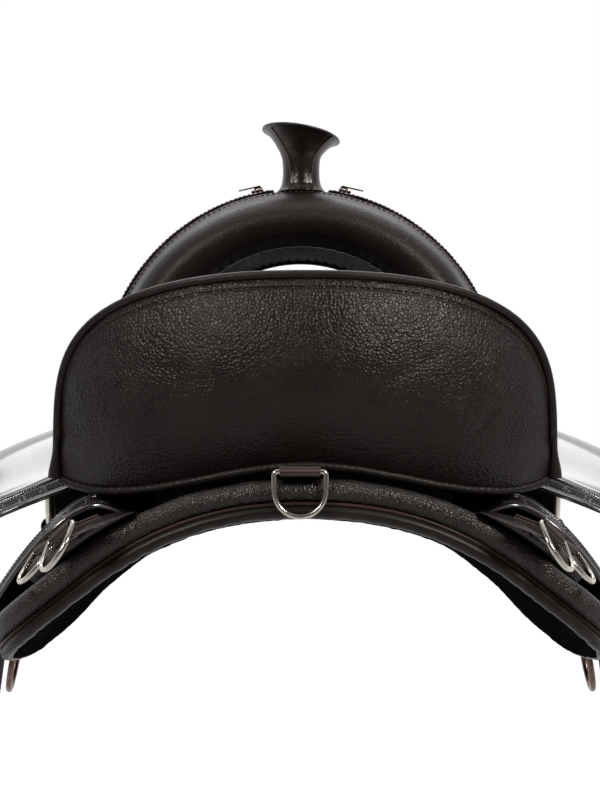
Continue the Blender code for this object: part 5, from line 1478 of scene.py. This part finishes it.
def ring_and_tab(node_name, matrix, tab_matrix, tail):
    bore = WIRE_RADIUS + PIVOT_CLEARANCE
    wire = sweep(node_name + "_wire", dee_points(DEE_WIDTH, DEE_DROP, WIRE_RADIUS), WIRE_RADIUS,
                 cyclic=True, sides=16)
    keep(place_at(wire, matrix), NICKEL, node_name, [node_name])
    tab = folded_strap(node_name + "_webbing", bore, TAB_PLY, WEBBING_WIDTH, tail, tab_matrix, rib=0.00034)
    keep(tab, [BROWN_WEBBING, BROWN_WEBBING], stands_for=[node_name + "_tab"])


def build_rings():
    loop = WIRE_RADIUS + PIVOT_CLEARANCE + TAB_PLY
    bore = WIRE_RADIUS + PIVOT_CLEARANCE
    matrix = hanging_frame(Vector((REAR_TAB_X, PAD_REAR_Y - loop - SEAT_GAP, PAD_TOP + SEAT_GAP + loop)),
                           Vector((0, -1, 0)), Vector((0, 0, -1)))
    forward = hanging_frame(matrix.translation, Vector((0, 0, 1)), Vector((0, -1, 0)))
    ring_and_tab("rear_dee", matrix, forward, straight_tail(bore, TAB_PLY, REAR_TAB_LENGTH))
    for name, side in SIDES:
        for kind, x, y, sweep_angle, droop, lift in RING_PLACES:
            point, normal, across, along = on_ring_ground(x, y, side, loop + lift)
            turn = math.radians(sweep_angle)
            down = across * math.cos(turn) - along * math.sin(turn)
            matrix = hanging_frame(point, normal, down)
            tail = [tail_on_ground(matrix, x, side, lift) for x in (-0.5, 0.0, 0.5)]
            hang = matrix @ Matrix.Rotation(math.radians(-droop), 4, "X")
            ring_and_tab("%s_dee_%s" % (kind, name), hang, matrix, tail)


def strap_surface(side, y, start, hang):
    """Webbing laid over the skirt at a place y, which hangs past the skirt's outer edge."""
    end = skirt_outer(y) + STRAP_OVERHANG
    down = Vector((STRAP_LEAN, 0.0, -1.0)).normalized()

    def surface(u, v):
        along = y + (0.5 - u) * WEBBING_WIDTH
        x = mix(start, end, clamp(v / STRAP_TURN))
        point = skirt_face(x, along, STRAP_CLEARANCE + WEBBING_THICKNESS)
        return point + down * max(0.0, v - STRAP_TURN) / (1 - STRAP_TURN) * hang

    mirror = Vector((side, 1, 1))
    return surface, surface(0.5, 1.0) * mirror, down * mirror


def build_rigging(name, side):
    surface, foot, down = strap_surface(side, RIGGING_Y, RIGGING_START, RIGGING_HANG)
    billet = strap_surface(side, REAR_BILLET_Y, REAR_BILLET_START, REAR_BILLET_HANG)[0]
    lapped = 1 + STRAP_LAP * (1 - STRAP_TURN) / RIGGING_HANG
    for kind, shape, reach in (("rigging_strap", surface, lapped), ("rear_billet", billet, 1)):
        strap = form("%s_webbing_%s" % (kind, name), shape, even(0, 1, 20), even(0, reach, 120), 0.0,
                     WEBBING_THICKNESS, 0.0009, side=side, rim_steps=6)
        keep(strap, [BLACK_WEBBING, BLACK_WEBBING],
             stands_for=["%s_%s" % (kind, name)])

    bore = CINCH_WIRE_RADIUS + PIVOT_CLEARANCE
    normal = Vector((-side * down.z, 0.0, side * down.x))
    tail = CINCH_TAIL + bore
    pivot = foot + down * (tail + 2 * GAP) + normal * bore
    matrix = hanging_frame(pivot, normal, down)
    loop = folded_strap("cinch_webbing_" + name, bore, TAB_PLY, WEBBING_WIDTH,
                        straight_tail(bore, TAB_PLY, tail), matrix)
    keep(loop, [BLACK_WEBBING, BLACK_WEBBING])
    ring = sweep("cinch_wire_" + name, dee_points(2 * CINCH_RING_RADIUS, 2 * CINCH_RING_RADIUS,
                                                  CINCH_WIRE_RADIUS, corner=0.009),
                 CINCH_WIRE_RADIUS, cyclic=True, sides=16)
    keep(place_at(ring, matrix), DARK_METAL, "cinch_ring_" + name, ["cinch_ring_" + name])


# Fenders and stirrups

FENDER_SEAM_INSET = 0.006
LOOP_SEAM_INSET = 0.005
STIRRUP_STEPS = 32
STIRRUP_ROUNDNESS = 0.42
TREAD_RIBS = 7
TREAD_HALF = 0.038
TREAD_RIB_HALF = 0.029
TREAD_Z = -0.122


def hanger_point(turn, side, radius=HANGER_RADIUS):
    a = math.radians(turn)
    return Vector((side * SWING_HALF, SWING_Y + radius * math.sin(a), SWING_Z - radius * math.cos(a)))


def build_fender(name, side):
    body = "fender_" + name
    bow = [hanger_point(turn, side) for turn in even(-HANGER_BAR_ANGLE, HANGER_BAR_ANGLE, 72)]
    bar = [bow[-1].lerp(bow[0], t) for t in even(0, 1, 12)[1:-1]]
    dee = sweep("stirrup_bow_" + name, bow + bar, HANGER_WIRE_RADIUS, cyclic=True, sides=16)
    keep(dee, NICKEL, stands_for=["stirrup_dee_" + name])

    bore = HANGER_WIRE_RADIUS + PIVOT_CLEARANCE
    corner = math.radians(HANGER_BAR_ANGLE)
    bar_middle = Vector((side * SWING_HALF, SWING_Y, SWING_Z + HANGER_RADIUS * math.cos(math.pi - corner)))
    rise = Vector((-side, 0, HANGER_RISE)).normalized()
    matrix = hanging_frame(bar_middle, Vector((0, 0, 1)) + side * HANGER_RISE * Vector((1, 0, 0)), -rise)
    reach = (SWING_HALF - GROUND_SEAT_HALF - 2 * GAP) / abs(rise.x)
    hanger = folded_strap("hanger_webbing_" + name, bore, HANGER_PLY, HANGER_STRAP_WIDTH,
                          straight_tail(bore, HANGER_PLY, reach), matrix, step=0.0012)
    keep(hanger, [BLACK_WEBBING, BLACK_WEBBING],
         stands_for=["stirrup_hanger_" + name])

    wrap = [hanger_point(turn, side) for turn in even(-SLEEVE_HALF_ANGLE, SLEEVE_HALF_ANGLE, 36)]
    sleeve = sweep("fender_wrap_" + name, wrap, bore + SLEEVE_THICKNESS * 0.98, sides=24)
    keep(sleeve, SOFT_LEATHER, body)

    def relief(u, v, place, point):
        rim = -0.0010 * ridge(place[2] - 0.0125, 0.0012) - 0.0006 * ease(1 - place[2] / 0.003)
        return rim + 0.0007 * rumple(point, 0.08, 17.0) * ease(place[2] / 0.01)

    leaf = form("fender_leather_" + name, fender_point, even(0, 1, 90), even(0, 1, 200), 0.0,
                FENDER_THICKNESS, 0.0018, side=side, rim_steps=8, relief=relief)
    keep(leaf, [FENDER_LEATHER, LINING_LEATHER], body, ["fender_" + name])

    mirror = Vector((side, 1, 1))
    rows = [[], []]
    for v in even(0.02, 0.985, 260):
        share = FENDER_SEAM_INSET / (2 * fender_half_width(mix(SLEEVE_REACH, FENDER_DROP, v)))
        for row, u in zip(rows, (share, 1 - share)):
            row.append(fender_point(u, v) * mirror)
    stitches("fender_stitching_" + name, rows, lambda at: (side, 0.0, 0.15), PALE_THREAD, body, pitch=0.0052)
    build_stirrup(name, side)


def build_stirrup(name, side):
    lean = math.radians(FENDER_LEAN)
    normal = Vector((side * math.cos(lean), 0, math.sin(lean)))
    down = Vector((side * math.sin(lean), 0, -math.cos(lean)))
    bore = STIRRUP_BOLT_RADIUS + PIVOT_CLEARANCE
    outer = bore + STIRRUP_LOOP_PLY
    end = Vector((side * (fender_inner(FENDER_DROP) + FENDER_THICKNESS), SWING_Y, SWING_Z - FENDER_DROP))
    bolt = end + normal * (outer + SEAT_GAP) + down * STIRRUP_BOLT_BELOW
    matrix = hanging_frame(bolt, normal, down)
    loop = folded_strap("stirrup_strap_" + name, bore, STIRRUP_LOOP_PLY, STIRRUP_LOOP_WIDTH,
                        straight_tail(bore, STIRRUP_LOOP_PLY, STIRRUP_LOOP_TAIL), matrix, step=0.0010)
    keep(loop, [FENDER_LEATHER, FENDER_LEATHER], "fender_" + name,
         ["stirrup_loop_" + name])
    rows = [[matrix @ Vector((x * (STIRRUP_LOOP_WIDTH / 2 - LOOP_SEAM_INSET), outer - 2 * bore + PLY_GAP, z))
             for z in even(0.010, STIRRUP_LOOP_TAIL - 0.002, 20)] for x in (-1, 1)]
    stitches("loop_stitching_" + name, rows, lambda at: tuple(normal), PALE_THREAD, "fender_" + name)

    right = smooth_through([Vector(knot) for knot in STIRRUP_SIDE], 60)
    path = [Vector((-p.x, p.y)) for p in right[:-1]] + right[::-1]
    rings, place = [], []
    for i, point in enumerate(path):
        along = path[min(i + 1, len(path) - 1)] - path[max(i - 1, 0)]
        across = Vector((-along.y, along.x)).normalized() * STIRRUP_THICKNESS / 2
        depth = mix(STIRRUP_EAR_DEPTH, STIRRUP_DEPTH, ease((-0.020 - point.y) / 0.085)) / 2
        for a in round_turns(STIRRUP_STEPS):
            c, s = (math.copysign(abs(t) ** STIRRUP_ROUNDNESS, t) for t in (math.cos(a), math.sin(a)))
            edge = point + across * s
            rings.append(bolt + Vector((c * depth, edge.x, edge.y)))
            place.append((c * depth, i * 0.003, 0.004))
    hoop = mesh_object("stirrup_hoop_" + name, rings, tube_faces(len(path), STIRRUP_STEPS), place)
    keep(hoop, COMPOSITE, "stirrup_" + name, ["stirrup_" + name])
    for row, y in enumerate(even(-TREAD_HALF, TREAD_HALF, TREAD_RIBS - 1)):
        z = TREAD_Z + STIRRUP_THICKNESS / 2 + 0.0002
        bar = [bolt + Vector((x, y, z)) for x in even(-TREAD_RIB_HALF, TREAD_RIB_HALF, 12)]
        rib = sweep("tread_rib_%d_%s" % (row, name), bar, 0.0014, sides=8)
        keep(rib, RUBBER, "stirrup_" + name)


def finish_solids():
    """Better materials for the solids that stay in sight."""
    finishes = {"ground_seat": FOAM, "cantle_core": COMPOSITE, "pommel_insert": COMPOSITE,
                "pommel_base": COMPOSITE, "horn_post": NICKEL}
    for name, _ in SIDES:
        finishes.update({"seat_wedge_" + name: FOAM, "stirrup_bolt_" + name: NICKEL})
    for name, finish in finishes.items():
        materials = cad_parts[name].data.materials
        materials.clear()
        materials.append(finish)


def main():
    bpy.context.scene.view_settings.view_transform = "Standard"
    build_camera()
    build_stage()
    build_light()
    build_pad()
    build_cantle()
    build_seat()
    build_pommel()
    build_horn()
    build_rings()
    for name, side in SIDES:
        build_zip(name, side)
        build_side_leathers(name, side)
        build_panel(name, side)
        build_rigging(name, side)
        build_fender(name, side)
    finish_solids()


main()
